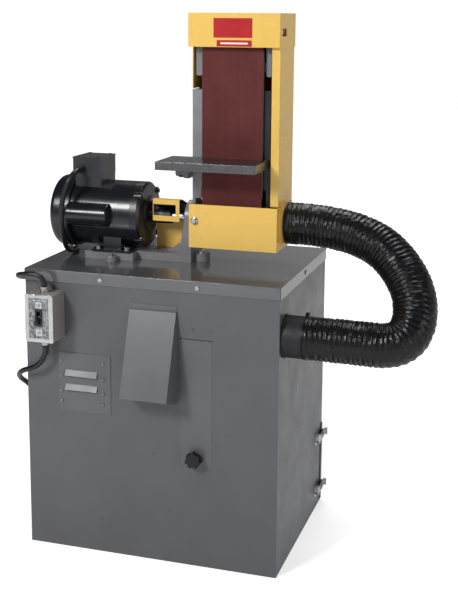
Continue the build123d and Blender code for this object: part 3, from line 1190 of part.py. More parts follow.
with BuildPart() as table_bracket:
    block(BRACKET_X, (TABLE_AXIS_Y, ARM_BACK - 6), (TABLE_AXIS_Z - 14, TABLE_AXIS_Z + 12))
    rod_x(BRACKET_X, TABLE_AXIS_Y, TABLE_AXIS_Z, 13)
    # pivot bolt through the table's lug, with its washer and head
    rod_x((LUG_X[0] - 3, BRACKET_X[0]), TABLE_AXIS_Y, TABLE_AXIS_Z, 5)
    rod_x((LUG_X[0] - 3, LUG_X[0] - CLEAR), TABLE_AXIS_Y, TABLE_AXIS_Z, 11)
    with BuildSketch(Plane.YZ.offset(LUG_X[0] - 10)):
        with Locations((TABLE_AXIS_Y, TABLE_AXIS_Z)):
            RegularPolygon(8.5, 6, major_radius=False)
    extrude(amount=7)
save(table_bracket, "table_bracket")


# ---------------------------------------------------------------- hose and cords
def corner_radii(points):
    """The largest arc that fits each corner of a route: 0.45 of the shorter run either side."""
    radii = []
    for before, corner, after in zip(points, points[1:], points[2:]):
        arriving, leaving = Vector(*corner) - Vector(*before), Vector(*after) - Vector(*corner)
        half_turn = radians(arriving.get_angle(leaving)) / 2
        radii.append(0.45 * min(arriving.length, leaving.length) / tan(half_turn))
    return radii


def tube(points, radius, name, radii=None):
    """A cord or hose along a route: straight runs joined by tangent arcs."""
    radii = radii or corner_radii(points)
    with BuildLine() as route:
        FilletPolyline(*points, radius=radii)
    length = sum(edge.length for edge in route.edges())
    start = route.line
    with BuildPart() as cord:
        with BuildSketch(Plane(start @ 0, z_dir=start % 0)) as section:
            Circle(radius)
        sweep(section.sketch, path=start)
    fullness = cord.part.volume / (pi * radius**2 * length)
    rounded = [round(r) for r in radii]
    print(name, "length", round(length), "radii", rounded, "volume", round(fullness, 3))
    save(cord, name)


# dust hose: out of the arm's outlet, down in a wide bend and back to the cabinet's inlet
HOSE_BULGE = 617.0
HOSE_ROUTE = [
    (OUTLET_X[1], AXIS_Y, AXIS_Z),
    (470.0, AXIS_Y, AXIS_Z),
    (HOSE_BULGE, -93.0, 709.2),
    (HOSE_BULGE, INLET_Y, INLET_Z),
    (CUFF_END, INLET_Y, INLET_Z),
]
tube(HOSE_ROUTE, HOSE_R, "dust_hose", radii=[205, 115, 102])

# motor cord: out of the conduit box, down beside the fan cover, under the motor and off the
# lid's left edge behind it, then forward down the side to the gland on top of the starter
LID_REST = LID_TOP + CORD_R + 1
MOTOR_CORD_ROUTE = [
    (MOTOR_CORD_X, CONDUIT_Y[0] - GLAND_LENGTH, MOTOR_CORD_Z),
    (MOTOR_CORD_X, -116.0, MOTOR_CORD_Z),
    (-279.0, -121.0, 868.0),
    (-281.0, -118.0, 785.0),
    (-283.0, -78.0, LID_REST + 1),
    (-290.0, 14.0, LID_REST),
    (-347.0, 72.0, LID_REST + 1),
    (-350.0, 88.0, 668.0),
    (-350.0, 16.0, 640.0),
    (-350.0, -120.0, 662.0),
    (-349.0, -215.0, 684.0),
    (-330.0, -268.0, 704.0),
    (STARTER_MID_X, GLAND_Y, 710.0),
    (STARTER_MID_X, GLAND_Y, STARTER_Z[1] + GLAND_LENGTH),
]
tube(MOTOR_CORD_ROUTE, CORD_R, "motor_cord")

# mains lead: out of the starter's underside, round the left side, down to the floor and into
# a coil lying beside the cabinet, two turns side by side with one on top of them
FLOOR_REST = CORD_R + 0.7
TURN_R = 65.0  # mean radius of the coil's turns
COIL_SECTION = (39.0, 25.0)
LEAD_SIDE_X = -352.0
COIL_X, COIL_Y = LEAD_SIDE_X - TURN_R - 2 * CORD_R, 187.0
LEAD_ROUTE = [
    (STARTER_MID_X, GLAND_Y, STARTER_Z[0] - GLAND_LENGTH),
    (STARTER_MID_X, GLAND_Y, 482.0),
    (LEAD_SIDE_X, -262.0, 452.0),
    (LEAD_SIDE_X, -140.0, 372.0),
    (LEAD_SIDE_X, -25.0, 235.0),
    (LEAD_SIDE_X, 40.0, 85.0),
    (LEAD_SIDE_X, 96.0, FLOOR_REST),
    (LEAD_SIDE_X, COIL_Y - 8, FLOOR_REST),
]
tube(LEAD_ROUTE, CORD_R, "mains_lead")

with BuildPart() as lead_coil:
    with BuildSketch(Plane.XZ.offset(-COIL_Y)) as section:
        with Locations((COIL_X + TURN_R, 0.7 + COIL_SECTION[1] / 2)):
            RectangleRounded(*COIL_SECTION, 8)
    revolve(section.sketch, axis=Axis((COIL_X, COIL_Y, 0), (0, 0, 1)))
save(lead_coil, "lead_coil")

PLUG_X, PLUG_Z = LEAD_SIDE_X, 14.0
PLUG_Y = COIL_Y + 74
with BuildPart() as mains_plug:
    block((PLUG_X - 16, PLUG_X + 16), (PLUG_Y, PLUG_Y + 38), (1, 27))
    fillet(mains_plug.edges().filter_by(Axis.Y), 6)
    rod_y(PLUG_X, (PLUG_Y - 34, PLUG_Y), PLUG_Z, CORD_R + 1.5)
    for x in (PLUG_X - 6.4, PLUG_X + 6.4):
        block((x - 0.8, x + 0.8), (PLUG_Y + 38, PLUG_Y + 56), (PLUG_Z - 7, PLUG_Z))
    rod_y(PLUG_X, (PLUG_Y + 38, PLUG_Y + 58), PLUG_Z + 6, 2.4)
save(mains_plug, "mains_plug")
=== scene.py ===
"""Looks of the belt sander on its dust cabinet: materials, soft pieces, light and camera.

Metres, in the frame of the CAD model: origin under the middle of the cabinet, on the floor,
+X along the motor and drum shafts, +Y away from the operator, +Z up. The control points of the
hose and cords, and the constants they are made from, are in millimetres.
"""
from math import copysign, cos, pi, radians, sin

import bpy
from mathutils import Euler, Matrix, Vector, noise


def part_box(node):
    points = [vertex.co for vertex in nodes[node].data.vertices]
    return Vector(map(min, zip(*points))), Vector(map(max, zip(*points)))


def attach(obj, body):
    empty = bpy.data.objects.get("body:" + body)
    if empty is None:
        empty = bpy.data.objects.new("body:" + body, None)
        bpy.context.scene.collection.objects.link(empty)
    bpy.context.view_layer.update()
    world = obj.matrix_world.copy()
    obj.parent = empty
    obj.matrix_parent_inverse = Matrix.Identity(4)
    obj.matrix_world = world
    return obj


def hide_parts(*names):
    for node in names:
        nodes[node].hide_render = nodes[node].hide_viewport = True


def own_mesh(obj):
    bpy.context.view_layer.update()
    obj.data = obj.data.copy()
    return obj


MM = 0.001  # metres in a millimetre
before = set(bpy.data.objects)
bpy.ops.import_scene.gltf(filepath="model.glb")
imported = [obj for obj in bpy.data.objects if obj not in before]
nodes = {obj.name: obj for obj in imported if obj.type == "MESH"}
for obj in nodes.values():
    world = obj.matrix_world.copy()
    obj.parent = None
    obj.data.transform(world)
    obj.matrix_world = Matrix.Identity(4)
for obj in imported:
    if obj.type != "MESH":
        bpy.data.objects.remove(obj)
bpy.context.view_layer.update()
scene = bpy.context.scene


# ---------------------------------------------------------------- camera

IMAGE = (458, 600)
FOCAL_PX = 1123.1
PRINCIPAL = (229.0, 220.0)
YAW, PITCH, ROLL = 17.28, 10.27, 0.42  # degrees
CAMERA_PLACE = (0.9505, -2.6527, 1.3225)
SENSOR = 36.0


def make_camera():
    data = bpy.data.cameras.new("camera")
    data.sensor_width = SENSOR
    data.lens = FOCAL_PX * SENSOR / max(IMAGE)
    data.shift_x = (IMAGE[0] / 2 - PRINCIPAL[0]) / max(IMAGE)
    data.shift_y = (PRINCIPAL[1] - IMAGE[1] / 2) / max(IMAGE)
    data.clip_end = 60
    camera = bpy.data.objects.new("camera", data)
    aim = Euler((radians(90 - PITCH), 0, radians(YAW))).to_matrix().to_4x4()
    camera.matrix_world = (
        Matrix.Translation(CAMERA_PLACE) @ aim @ Matrix.Rotation(radians(ROLL), 4, "Z")
    )
    scene.collection.objects.link(camera)
    scene.camera = camera


make_camera()


# ---------------------------------------------------------------- mesh helpers


def mesh_object(name, verts, faces):
    """A smooth-shaded object of these points and faces."""
    mesh = bpy.data.meshes.new(name)
    mesh.from_pydata([tuple(v) for v in verts], [], faces)
    mesh.update()
    mesh.polygons.foreach_set("use_smooth", [True] * len(mesh.polygons))
    piece = bpy.data.objects.new(name, mesh)
    scene.collection.objects.link(piece)
    return piece


def ring_faces(rings, around, closed_ends=True):
    """Quads between rings of `around` points each, with a cap on each end."""
    faces = []
    for i in range(rings - 1):
        ring, after = i * around, (i + 1) * around
        for j in range(around):
            k = (j + 1) % around
            faces.append((ring + j, ring + k, after + k, after + j))
    if closed_ends:
        faces.append(tuple(reversed(range(around))))
        faces.append(tuple(range((rings - 1) * around, rings * around)))
    return faces


def lathe(name, place, axis, profile, around=48):
    """A turned piece: profile is (distance along the axis, radius) pairs, from place."""
    turn = Vector(axis).normalized().to_track_quat("Z", "Y").to_matrix()
    verts = []
    for along, radius in profile:
        for j in range(around):
            a = 2 * pi * j / around
            verts.append(Vector(place) + turn @ Vector((radius * cos(a), radius * sin(a), along)))
    return mesh_object(name, verts, ring_faces(len(profile), around))


CHAMFER_SLOPE = 1.7  # about a 30 degree chamfer


def hexagon_head(name, place, axis, radius, height, chamfer):
    """A hexagon screw's head, chamfered on top."""
    profile = [(0, radius), (height - chamfer, radius), (height, radius - chamfer * CHAMFER_SLOPE)]
    piece = lathe(name, place, axis, profile, 6)
    for polygon in piece.data.polygons:
        polygon.use_smooth = False
    return piece


# ---------------------------------------------------------------- cords and the hose


def smooth_line(points):
    """The places along a smooth NURBS line with these control points, given in millimetres."""
    curve = bpy.data.curves.new("line", "CURVE")
    curve.dimensions = "3D"
    line = curve.splines.new("NURBS")
    line.points.add(len(points) - 1)
    for point, place in zip(line.points, points):
        point.co = (*(c * MM for c in place), 1)
    line.order_u = 3
    line.use_endpoint_u = True
    line.resolution_u = 16
    piece = bpy.data.objects.new("line", curve)
    scene.collection.objects.link(piece)
    mesh = bpy.data.meshes.new_from_object(piece)
    places = [v.co.copy() for v in mesh.vertices]
    bpy.data.meshes.remove(mesh)
    bpy.data.objects.remove(piece)
    return places


LOOK_AHEAD = 3  # steps each way that a direction is taken over


def walk(points, step):
    """The same line in even steps: (place, direction, distance along) at each."""
    lengths = [0.0]
    for a, b in zip(points, points[1:]):
        lengths.append(lengths[-1] + (b - a).length)
    count = round(lengths[-1] / step)
    result = []
    i = 0
    for n in range(count + 1):
        s = lengths[-1] * n / count
        while i < len(points) - 2 and lengths[i + 1] < s:
            i += 1
        share = (s - lengths[i]) / (lengths[i + 1] - lengths[i])
        result.append((points[i].lerp(points[i + 1], share), s))
    places = [p for p, s in result]
    ahead = [
        (places[min(n + LOOK_AHEAD, count)] - places[max(n - LOOK_AHEAD, 0)]).normalized()
        for n in range(count + 1)
    ]
    return [(p, d, s) for (p, s), d in zip(result, ahead)]


def tube_skin(name, points, surface, around, step):
    """A tube round a line: surface(angle, distance along, whole length) gives its radius."""
    verts = []
    stations = walk(points, step)
    side = Vector((0.1, 0.9, 0.2))  # any direction that no line starts along
    for place, ahead, s in stations:
        side = (side - ahead * side.dot(ahead)).normalized()
        up = ahead.cross(side)
        for j in range(around):
            a = 2 * pi * j / around
            radius = surface(a, s, stations[-1][2])
            verts.append(place + (side * cos(a) + up * sin(a)) * radius)
    return mesh_object(name, verts, ring_faces(len(stations), around))


HOSE_R = 0.0525  # metres
HOSE_POINTS = [
    (280, -10, 822.9),
    (470, -10, 826),
    (617, -93, 709.2),
    (617, -183, 583),
    (462, -183, 585),
    (375, -183, 586),
]
WIRE_PITCH = 0.0115
WIRE_SHARPNESS = 1.4
WIRE_SAG = 0.0016
CREASE = 0.0022
WANDER = 0.0008
FILM_INSET = 0.0006
SMOOTH_END = 0.012  # the length at each end over which the film comes to its plain radius


def hose_noise(a, s, scale_round, scale_along, shift):
    """Noise at angle a and distance s along, without a seam."""
    place = (cos(a) * scale_round, sin(a) * scale_round, s * scale_along + shift)
    return noise.noise(Vector(place))


def hose_film_radius(a, s, total):
    """Thin film sagging between the turns of a spiral wire, and creased across them."""
    phase = s / WIRE_PITCH + a / (2 * pi)
    slack = 1 - abs(cos(pi * phase)) ** WIRE_SHARPNESS
    fold = hose_noise(a, s, 3.5, 60, 3)
    crease = hose_noise(a, s, 2.6, 120, 11)
    fine = hose_noise(a, s, 9, 160, 29)
    wander = WANDER * hose_noise(a, s, 2, 26, 0)
    sag = WIRE_SAG * slack * (1 + 0.8 * fold) + CREASE * (max(0, crease) + 0.25 * fine)
    end_fade = min(1.0, s / SMOOTH_END, (total - s) / SMOOTH_END)
    return min(HOSE_R, HOSE_R - FILM_INSET + (wander - sag) * end_fade)


hose_path = smooth_line(HOSE_POINTS)
dust_hose = tube_skin("dust_hose_skin", hose_path, hose_film_radius, 144, 0.0012)
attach(dust_hose, "cabinet")
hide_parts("dust_hose")

CORD_R = 6.5  # millimetres


def plain_cord(name, points, *replaced):
    """A round rubber cord of one thickness on the cabinet; returns it and its line."""
    path = smooth_line(points)
    cord = tube_skin(name, path, lambda a, s, total: CORD_R * MM, 20, 0.004)
    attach(cord, "cabinet")
    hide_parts(*replaced)
    return cord, [tuple(p) for p in path]


motor_cord, motor_cord_path = plain_cord(
    "motor_cord_line",
    [
        (-250, -72, 938),
        (-250, -116, 938),
        (-279, -121, 868),
        (-281, -118, 785),
        (-283, -78, 722.5),
        (-290, 14, 721.5),
        (-347, 72, 722.5),
        (-350, 88, 668),
        (-350, 16, 640),
        (-350, -120, 662),
        (-349, -215, 684),
        (-330, -268, 704),
        (-256, -269.7, 710),
        (-256, -269.7, 679),
    ],
    "motor_cord",
)

# the mains lead goes down the left side to the floor, into a coil of two turns with one on top
FLOOR_REST = 7.2
LEAD_X = -352
COIL_Y = 187
COIL_OUTER = 78
TURN_POINTS = 16
COIL_X = LEAD_X - COIL_OUTER
TOP_START = 54  # radius at which the top turn climbs onto the others
TOP_RISE = 11.4
TOP_RISE_TURNS = 0.16
TOP_SPREAD_TURNS = 0.35
TOP_CLOSING = 8
PLUG_Z = 14


def coil_points():
    """Two turns winding in along the floor, then one over them that winds out to the plug."""
    points = []
    for n in range(1, 3 * TURN_POINTS):
        turns = n / TURN_POINTS
        if turns <= 2:
            radius = COIL_OUTER - 2 * CORD_R * turns
            height = FLOOR_REST
        else:
            top = turns - 2
            spread = (COIL_OUTER - TOP_START) * min(1, top / TOP_SPREAD_TURNS)
            radius = TOP_START + spread - TOP_CLOSING * max(0, top - TOP_SPREAD_TURNS)
            height = FLOOR_REST + TOP_RISE * min(1, top / TOP_RISE_TURNS)
        a = 2 * pi * turns
        points.append((COIL_X + radius * cos(a), COIL_Y + radius * sin(a), height))
    return points


mains_lead, mains_lead_path = plain_cord(
    "mains_lead_line",
    [
        (-256, -269.7, 534),
        (-256, -269.7, 482),
        (LEAD_X, -262, 452),
        (LEAD_X, -140, 372),
        (LEAD_X, -25, 235),
        (LEAD_X, 40, 85),
        (LEAD_X, 96, FLOOR_REST),
        (LEAD_X, COIL_Y - 8, FLOOR_REST),
    ]
    + coil_points()
    + [(LEAD_X, COIL_Y + 6, 17.5), (LEAD_X, COIL_Y + 42, PLUG_Z)],
    "mains_lead",
    "lead_coil",
)

lead_relief = lathe(
    "lead_relief",
    (-0.256, -0.2697, 0.5338),
    (0, 0, -1),
    [(0, 0.0088), (0.004, 0.0088), (0.006, 0.0082), (0.024, 0.0071), (0.0245, 0.0067)],
)
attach(lead_relief, "cabinet")


TIE_ANGLE = 118  # degrees round the coil
TIE_R = 0.0655
TIE_HALF_WIDTH = 0.0185
TIE_HALF_HEIGHT = 0.0119
TIE_MIDDLE_Z = 0.0130
TIE_SWELL_Z = 0.0128
TIE_POINTS = 40
TIE_RINGS = ((-0.009, 0.0), (-0.0085, 0.0006), (0.0085, 0.0006), (0.009, 0.0))  # shift, swell


def signed_power(value, power):
    return copysign(abs(value) ** power, value)


def tie_band():
    """A hook-and-loop tie round the three turns of the coil."""
    a = radians(TIE_ANGLE)
    outward = Vector((cos(a), sin(a), 0))
    along = Vector((-sin(a), cos(a), 0))
    middle = Vector((COIL_X * MM, COIL_Y * MM, 0)) + outward * TIE_R
    centre = middle + Vector((0, 0, TIE_SWELL_Z))
    loop = []
    for j in range(TIE_POINTS):
        t = 2 * pi * j / TIE_POINTS
        wide = TIE_HALF_WIDTH * signed_power(cos(t), 0.7)
        high = TIE_MIDDLE_Z + TIE_HALF_HEIGHT * signed_power(sin(t), 0.8)
        loop.append(middle + outward * wide + Vector((0, 0, high)))
    verts = []
    for shift, swell in TIE_RINGS:
        verts += [p + along * shift + (p - centre).normalized() * swell for p in loop]
    return mesh_object("lead_tie", verts, ring_faces(len(TIE_RINGS), TIE_POINTS, False))


lead_tie = tie_band()
solid = lead_tie.modifiers.new("thickness", "SOLIDIFY")
solid.thickness = 0.0009
solid.offset = 0
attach(lead_tie, "cabinet")


# ---------------------------------------------------------------- take-up spring

SPRING_TURNS = 5
SPRING_TURN_POINTS = 48
SPRING_WIRE_R = 0.0016


def take_up_spring():
    """The coil spring under the idler's yoke, at one fixed length; the real one shortens as the
    take-up slides down.
    """
    low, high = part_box("take_up_spring")
    middle = [(a + b) / 2 for a, b in zip(low, high)]
    radius = (high[0] - low[0]) / 2 - SPRING_WIRE_R
    start, rise = low[2] + SPRING_WIRE_R, high[2] - low[2] - 2 * SPRING_WIRE_R
    points = []
    for n in range(SPRING_TURN_POINTS * SPRING_TURNS + 1):
        turns = n / SPRING_TURN_POINTS
        a = 2 * pi * turns
        height = start + rise * turns / SPRING_TURNS
        points.append(Vector((middle[0] + radius * cos(a), middle[1] + radius * sin(a), height)))
    spring = tube_skin("take_up_coil", points, lambda a, s, total: SPRING_WIRE_R, 12, 0.0016)
    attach(spring, "sander_arm")
    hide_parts("take_up_spring")
    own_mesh(spring)
    return spring


take_up_coil = take_up_spring()


# ---------------------------------------------------------------- materials


class Nodes:
    """Adds linked nodes to one node tree."""

    def __init__(self, tree):
        self.tree = tree

    def node(self, kind, inputs=None, **settings):
        node = self.tree.nodes.new(kind)
        for key, value in settings.items():
            setattr(node, key, value)
        for key, value in (inputs or {}).items():
            self.feed(node.inputs[key], value)
        return node

    def feed(self, socket, value):
        if isinstance(value, bpy.types.NodeSocket):
            self.tree.links.new(value, socket)
        else:
            socket.default_value = value

    def math(self, operation, first, second, third=0.0):
        node = self.node("ShaderNodeMath", operation=operation)
        for socket, value in zip(node.inputs, (first, second, third)):
            self.feed(socket, value)
        return node.outputs[0]

    def remap(self, value, low, high, to_low=0.0, to_high=1.0):
        ends = {"From Min": low, "From Max": high, "To Min": to_low, "To Max": to_high}
        return self.node("ShaderNodeMapRange", {"Value": value, **ends}).outputs["Result"]

    def seen_directly(self):
        return self.node("ShaderNodeLightPath").outputs["Is Camera Ray"]


class Finish(Nodes):
    """One procedural material, built node by node round a Principled shader."""

    def __init__(self, name):
        self.material = bpy.data.materials.new(name)
        self.material.use_nodes = True
        super().__init__(self.material.node_tree)
        self.shader = self.tree.nodes["Principled BSDF"]
        self.place = self.node("ShaderNodeTexCoord").outputs["Object"]

    def set(self, **values):
        for key, value in values.items():
            self.feed(self.shader.inputs[key.replace("_", " ")], value)

    def noise(self, scale, detail, roughness=0.55, stretch=(1, 1, 1)):
        place = self.node(
            "ShaderNodeMapping", {"Vector": self.place, "Scale": stretch}
        ).outputs["Vector"]
        return self.node(
            "ShaderNodeTexNoise",
            {"Vector": place, "Scale": scale, "Detail": detail, "Roughness": roughness},
        ).outputs["Fac"]

    def mix(self, share, first, second):
        """A colour between two others, each a socket or red, green and blue."""
        node = self.node("ShaderNodeMix", data_type="RGBA")
        self.feed(node.inputs["Factor"], share)
        for socket, colour in zip(node.inputs[6:8], (first, second)):
            self.feed(socket, (*colour, 1) if isinstance(colour, tuple) else colour)
        return node.outputs[2]

    def axis(self, index):
        return self.node("ShaderNodeSeparateXYZ", {"Vector": self.place}).outputs[index]

    def within(self, index, low, high):
        """1 where the coordinate lies between low and high."""
        return self.math("COMPARE", self.axis(index), (low + high) / 2, (high - low) / 2)

    def rectangle(self, x, z):
        return self.math("MULTIPLY", self.within(0, *x), self.within(2, *z))

    def round_edges(self, radius):
        return self.node("ShaderNodeBevel", {"Radius": radius}, samples=4).outputs["Normal"]

    def edge_mask(self, radius):
        """1 on sharp edges, where paint wears through, broken up by a fine noise."""
        true = self.node("ShaderNodeNewGeometry").outputs["Normal"]
        both = self.node("ShaderNodeVectorMath", operation="DOT_PRODUCT")
        self.feed(both.inputs[0], self.round_edges(radius))
        self.feed(both.inputs[1], true)
        sharp = self.remap(self.math("SUBTRACT", 1.0, both.outputs["Value"]), 0.02, 0.25)
        return self.math("MULTIPLY", sharp, self.remap(self.noise(60, 5), 0.42, 0.62))

    def bump(self, height, depth, strength, onto=None):
        inputs = {"Height": height, "Distance": depth, "Strength": strength}
        if onto is not None:
            inputs["Normal"] = onto
        return self.node("ShaderNodeBump", inputs).outputs["Normal"]


def shade(colour, factor):
    return tuple(min(1.0, c * factor) for c in colour)


def painted(
    name,
    colour,
    rough,
    *,
    spread=0.06,
    blotch=0.06,
    peel=0.00005,
    peel_scale=420,
    edge=0.0006,
    wear=None,
    coat=0.0,
    dust=0.0,
):
    """Sprayed or dipped paint: faint cloudiness, orange peel, rounded edges, worn corners."""
    f = Finish(name)
    cloud = f.remap(f.noise(7, 4), 0.3, 0.7)
    base = f.mix(cloud, shade(colour, 1 - blotch), shade(colour, 1 + blotch))
    if dust:
        speck = f.math("MULTIPLY", f.remap(f.noise(38, 6, 0.7), 0.48, 0.75), dust)
        base = f.mix(speck, base, (0.42, 0.38, 0.33))
    if wear:
        base = f.mix(f.edge_mask(edge * 1.6), base, wear)
    smear = f.remap(f.noise(16, 5), 0.3, 0.7, rough - spread, rough + spread)
    normal = f.bump(f.noise(peel_scale, 2), peel, 0.6, f.round_edges(edge))
    f.set(Base_Color=base, Roughness=smear, Normal=normal, Coat_Weight=coat, Coat_Roughness=0.08)
    return f.material


CAST_EDGE = 0.0012


def cast_skin(f):
    """The grainy and slightly lumpy surface of sand-cast iron."""
    lumps = f.math("ADD", f.noise(260, 4, 0.6), f.math("MULTIPLY", f.noise(45, 2), 1.6))
    return f.bump(lumps, 0.00022, 0.7, f.round_edges(CAST_EDGE))


def casting(name, colour, rough, wear):
    """Sand-cast iron under paint."""
    f = Finish(name)
    cloud = f.remap(f.noise(12, 5), 0.3, 0.7)
    base = f.mix(cloud, shade(colour, 0.85), shade(colour, 1.12))
    base = f.mix(f.edge_mask(CAST_EDGE), base, wear)
    smear = f.remap(f.noise(30, 4), 0.3, 0.7, rough - 0.07, rough + 0.1)
    f.set(Base_Color=base, Roughness=smear, Normal=cast_skin(f))
    return f.material


def metal(name, colour, rough, *, stretch=(1, 1, 1), scale=500, spread=0.08):
    """Bare metal: fine lines along the way it was worked, and uneven dullness."""
    f = Finish(name)
    lines = f.noise(scale, 3, 0.6, stretch)
    cloud = f.remap(f.noise(25, 4), 0.3, 0.7)
    base = f.mix(cloud, shade(colour, 0.88), shade(colour, 1.12))
    smear = f.remap(f.math("ADD", lines, f.noise(20, 3)), 0.7, 1.3, rough - spread, rough + spread)
    normal = f.bump(lines, 0.00003, 0.5, f.round_edges(0.0004))
    f.set(Base_Color=base, Roughness=smear, Normal=normal, Metallic=1.0)
    return f.material


def moulded(name, colour, rough, *, grain=0.00004, scale=900):
    """Plastic or rubber: a fine grain, faint smears."""
    f = Finish(name)
    cloud = f.remap(f.noise(30, 4), 0.3, 0.7)
    base = f.mix(cloud, shade(colour, 0.8), shade(colour, 1.2))
    smear = f.remap(f.noise(45, 4), 0.3, 0.7, rough - 0.08, rough + 0.08)
    normal = f.bump(f.noise(scale, 2), grain, 0.5, f.round_edges(0.0006))
    f.set(Base_Color=base, Roughness=smear, Normal=normal)
    return f.material


CABINET = (0.108, 0.110, 0.119)
YELLOW = (0.90, 0.58, 0.125)
MOTOR_BLACK = (0.009, 0.010, 0.014)

cabinet_paint = painted("cabinet_paint", CABINET, 0.33, wear=(0.26, 0.26, 0.27), edge=0.0008)
lid_paint = painted(
    "lid_paint",
    CABINET,
    0.16,
    spread=0.04,
    wear=(0.3, 0.3, 0.3),
    edge=0.0012,
    peel=0.00002,
    coat=0.6,
)
panel_paint = painted(
    "panel_paint", shade(CABINET, 1.14), 0.34, wear=(0.28, 0.28, 0.29), edge=0.0006
)
inside_paint = painted("inside_paint", shade(CABINET, 0.9), 0.45, dust=0.5)
yellow_paint = painted(
    "yellow_paint", YELLOW, 0.30, blotch=0.03, spread=0.05, wear=(0.60, 0.36, 0.09), edge=0.0007
)
motor_paint = painted("motor_paint", MOTOR_BLACK, 0.24, peel=0.00008, edge=0.0009, coat=0.2)
bell_paint = painted(
    "bell_paint",
    MOTOR_BLACK,
    0.30,
    peel=0.00012,
    peel_scale=300,
    edge=0.0010,
    wear=(0.06, 0.06, 0.065),
)
box_paint = painted("box_paint", (0.026, 0.027, 0.033), 0.34, edge=0.0008, wear=(0.1, 0.1, 0.1))
starter_grey = painted("starter_grey", (0.27, 0.255, 0.245), 0.36, edge=0.0006, blotch=0.1)
cast_paint = casting("cast_paint", (0.215, 0.218, 0.232), 0.36, (0.36, 0.36, 0.36))
base_paint = casting("base_paint", (0.225, 0.227, 0.240), 0.30, (0.32, 0.32, 0.32))
zinc = metal("zinc", (0.56, 0.56, 0.56), 0.26)
black_steel = metal("black_steel", (0.030, 0.030, 0.034), 0.44)
brushed = metal("brushed", (0.36, 0.36, 0.36), 0.34, stretch=(1, 12, 12))
turned = metal("turned", (0.50, 0.50, 0.51), 0.30, stretch=(14, 1, 1))
pan_steel = metal("pan_steel", (0.42, 0.42, 0.42), 0.42, scale=120, spread=0.14)
laminations = metal("laminations", (0.22, 0.17, 0.13), 0.45, stretch=(20, 1, 1))
aluminium = metal("aluminium", (0.62, 0.62, 0.63), 0.34, stretch=(16, 1, 1))
black_plastic = moulded("black_plastic", (0.014, 0.014, 0.017), 0.42)
knob_plastic = moulded("knob_plastic", (0.005, 0.005, 0.007), 0.56)
cord_rubber = moulded("cord_rubber", (0.011, 0.011, 0.013), 0.36, scale=1400)
cuff_rubber = moulded("cuff_rubber", (0.008, 0.0085, 0.011), 0.58, scale=300, grain=0.0001)
tie_cloth = moulded("tie_cloth", (0.02, 0.02, 0.022), 0.8, scale=2500, grain=0.0002)


def table_iron():
    """Ground cast iron: long fine grinding lines on top, cast texture left on the edges."""
    f = Finish("table_iron")
    lines = f.noise(420, 4, 0.6, (1, 26, 1))
    stain = f.remap(f.noise(9, 5, 0.6), 0.35, 0.7)
    base = f.mix(stain, (0.175, 0.175, 0.187), (0.125, 0.122, 0.129))
    base = f.mix(f.edge_mask(0.0012), base, (0.36, 0.36, 0.36))
    smear = f.remap(f.math("ADD", lines, f.noise(24, 4)), 0.7, 1.3, 0.20, 0.36)
    f.set(
        Base_Color=base,
        Metallic=0.75,
        Roughness=smear,
        Normal=f.bump(lines, 0.00003, 0.6, f.round_edges(0.0012)),
    )
    return f.material


def abrasive_cloth():
    """Reddish-brown grit on cloth, with faint streaks along the way it runs."""
    f = Finish("abrasive_cloth")
    grit = f.noise(1500, 2, 0.8)
    cloud = f.remap(f.noise(14, 5, 0.65), 0.3, 0.72)
    base = f.mix(cloud, (0.105, 0.023, 0.021), (0.150, 0.038, 0.034))
    base = f.mix(f.remap(grit, 0.56, 0.72), base, (0.20, 0.070, 0.062))
    clump = f.remap(f.noise(420, 3, 0.7), 0.42, 0.62, 0, 0.55)
    base = f.mix(clump, base, (0.075, 0.016, 0.015))
    streak = f.remap(f.noise(70, 4, 0.6, (1, 1, 0.05)), 0.5, 0.75, 0, 0.25)
    base = f.mix(streak, base, (0.17, 0.055, 0.050))
    normal = f.bump(grit, 0.00022, 0.8)
    f.set(Base_Color=base, Roughness=0.72, Normal=normal, Specular_IOR_Level=0.2)
    return f.material


def red_label():
    """Plain red decals: a dark rule near the top of one, a white bar along the other."""
    f = Finish("red_label")
    cloud = f.remap(f.noise(30, 4), 0.3, 0.7)
    base = f.mix(cloud, (0.47, 0.014, 0.018), (0.53, 0.018, 0.022))
    rule = f.rectangle((0.137, 0.175), (1.3112, 1.3126))
    bar = f.rectangle((0.1275, 0.1955), (1.2578, 1.2622))
    base = f.mix(rule, base, (0.17, 0.014, 0.016))
    base = f.mix(bar, base, (0.80, 0.77, 0.74))
    rough = f.remap(f.noise(60, 3), 0.3, 0.7, 0.34, 0.46)
    normal = f.bump(f.noise(500, 2), 0.00003, 0.5)
    f.set(Base_Color=base, Roughness=rough, Normal=normal, Specular_IOR_Level=0.25)
    return f.material


def starter_print():
    """The switch plate: dark print on bright metal, pale ends round its two screws."""
    f = Finish("starter_print")
    cloud = f.remap(f.noise(150, 5, 0.7), 0.42, 0.62)
    base = f.mix(cloud, (0.11, 0.115, 0.125), (0.40, 0.405, 0.42))
    for middle in (0.5725, 0.6405):
        pale = f.rectangle((-0.264, -0.248), (middle - 0.0075, middle + 0.0075))
        base = f.mix(pale, base, (0.62, 0.62, 0.62))
    for low, high in ((0.6515, 0.6535), (0.5555, 0.5575)):
        base = f.mix(f.rectangle((-0.272, -0.240), (low, high)), base, (0.55, 0.55, 0.56))
    rough = f.remap(f.noise(60, 3), 0.3, 0.7, 0.28, 0.42)
    f.set(Base_Color=base, Roughness=rough, Metallic=0.35, Normal=f.round_edges(0.0005))
    return f.material


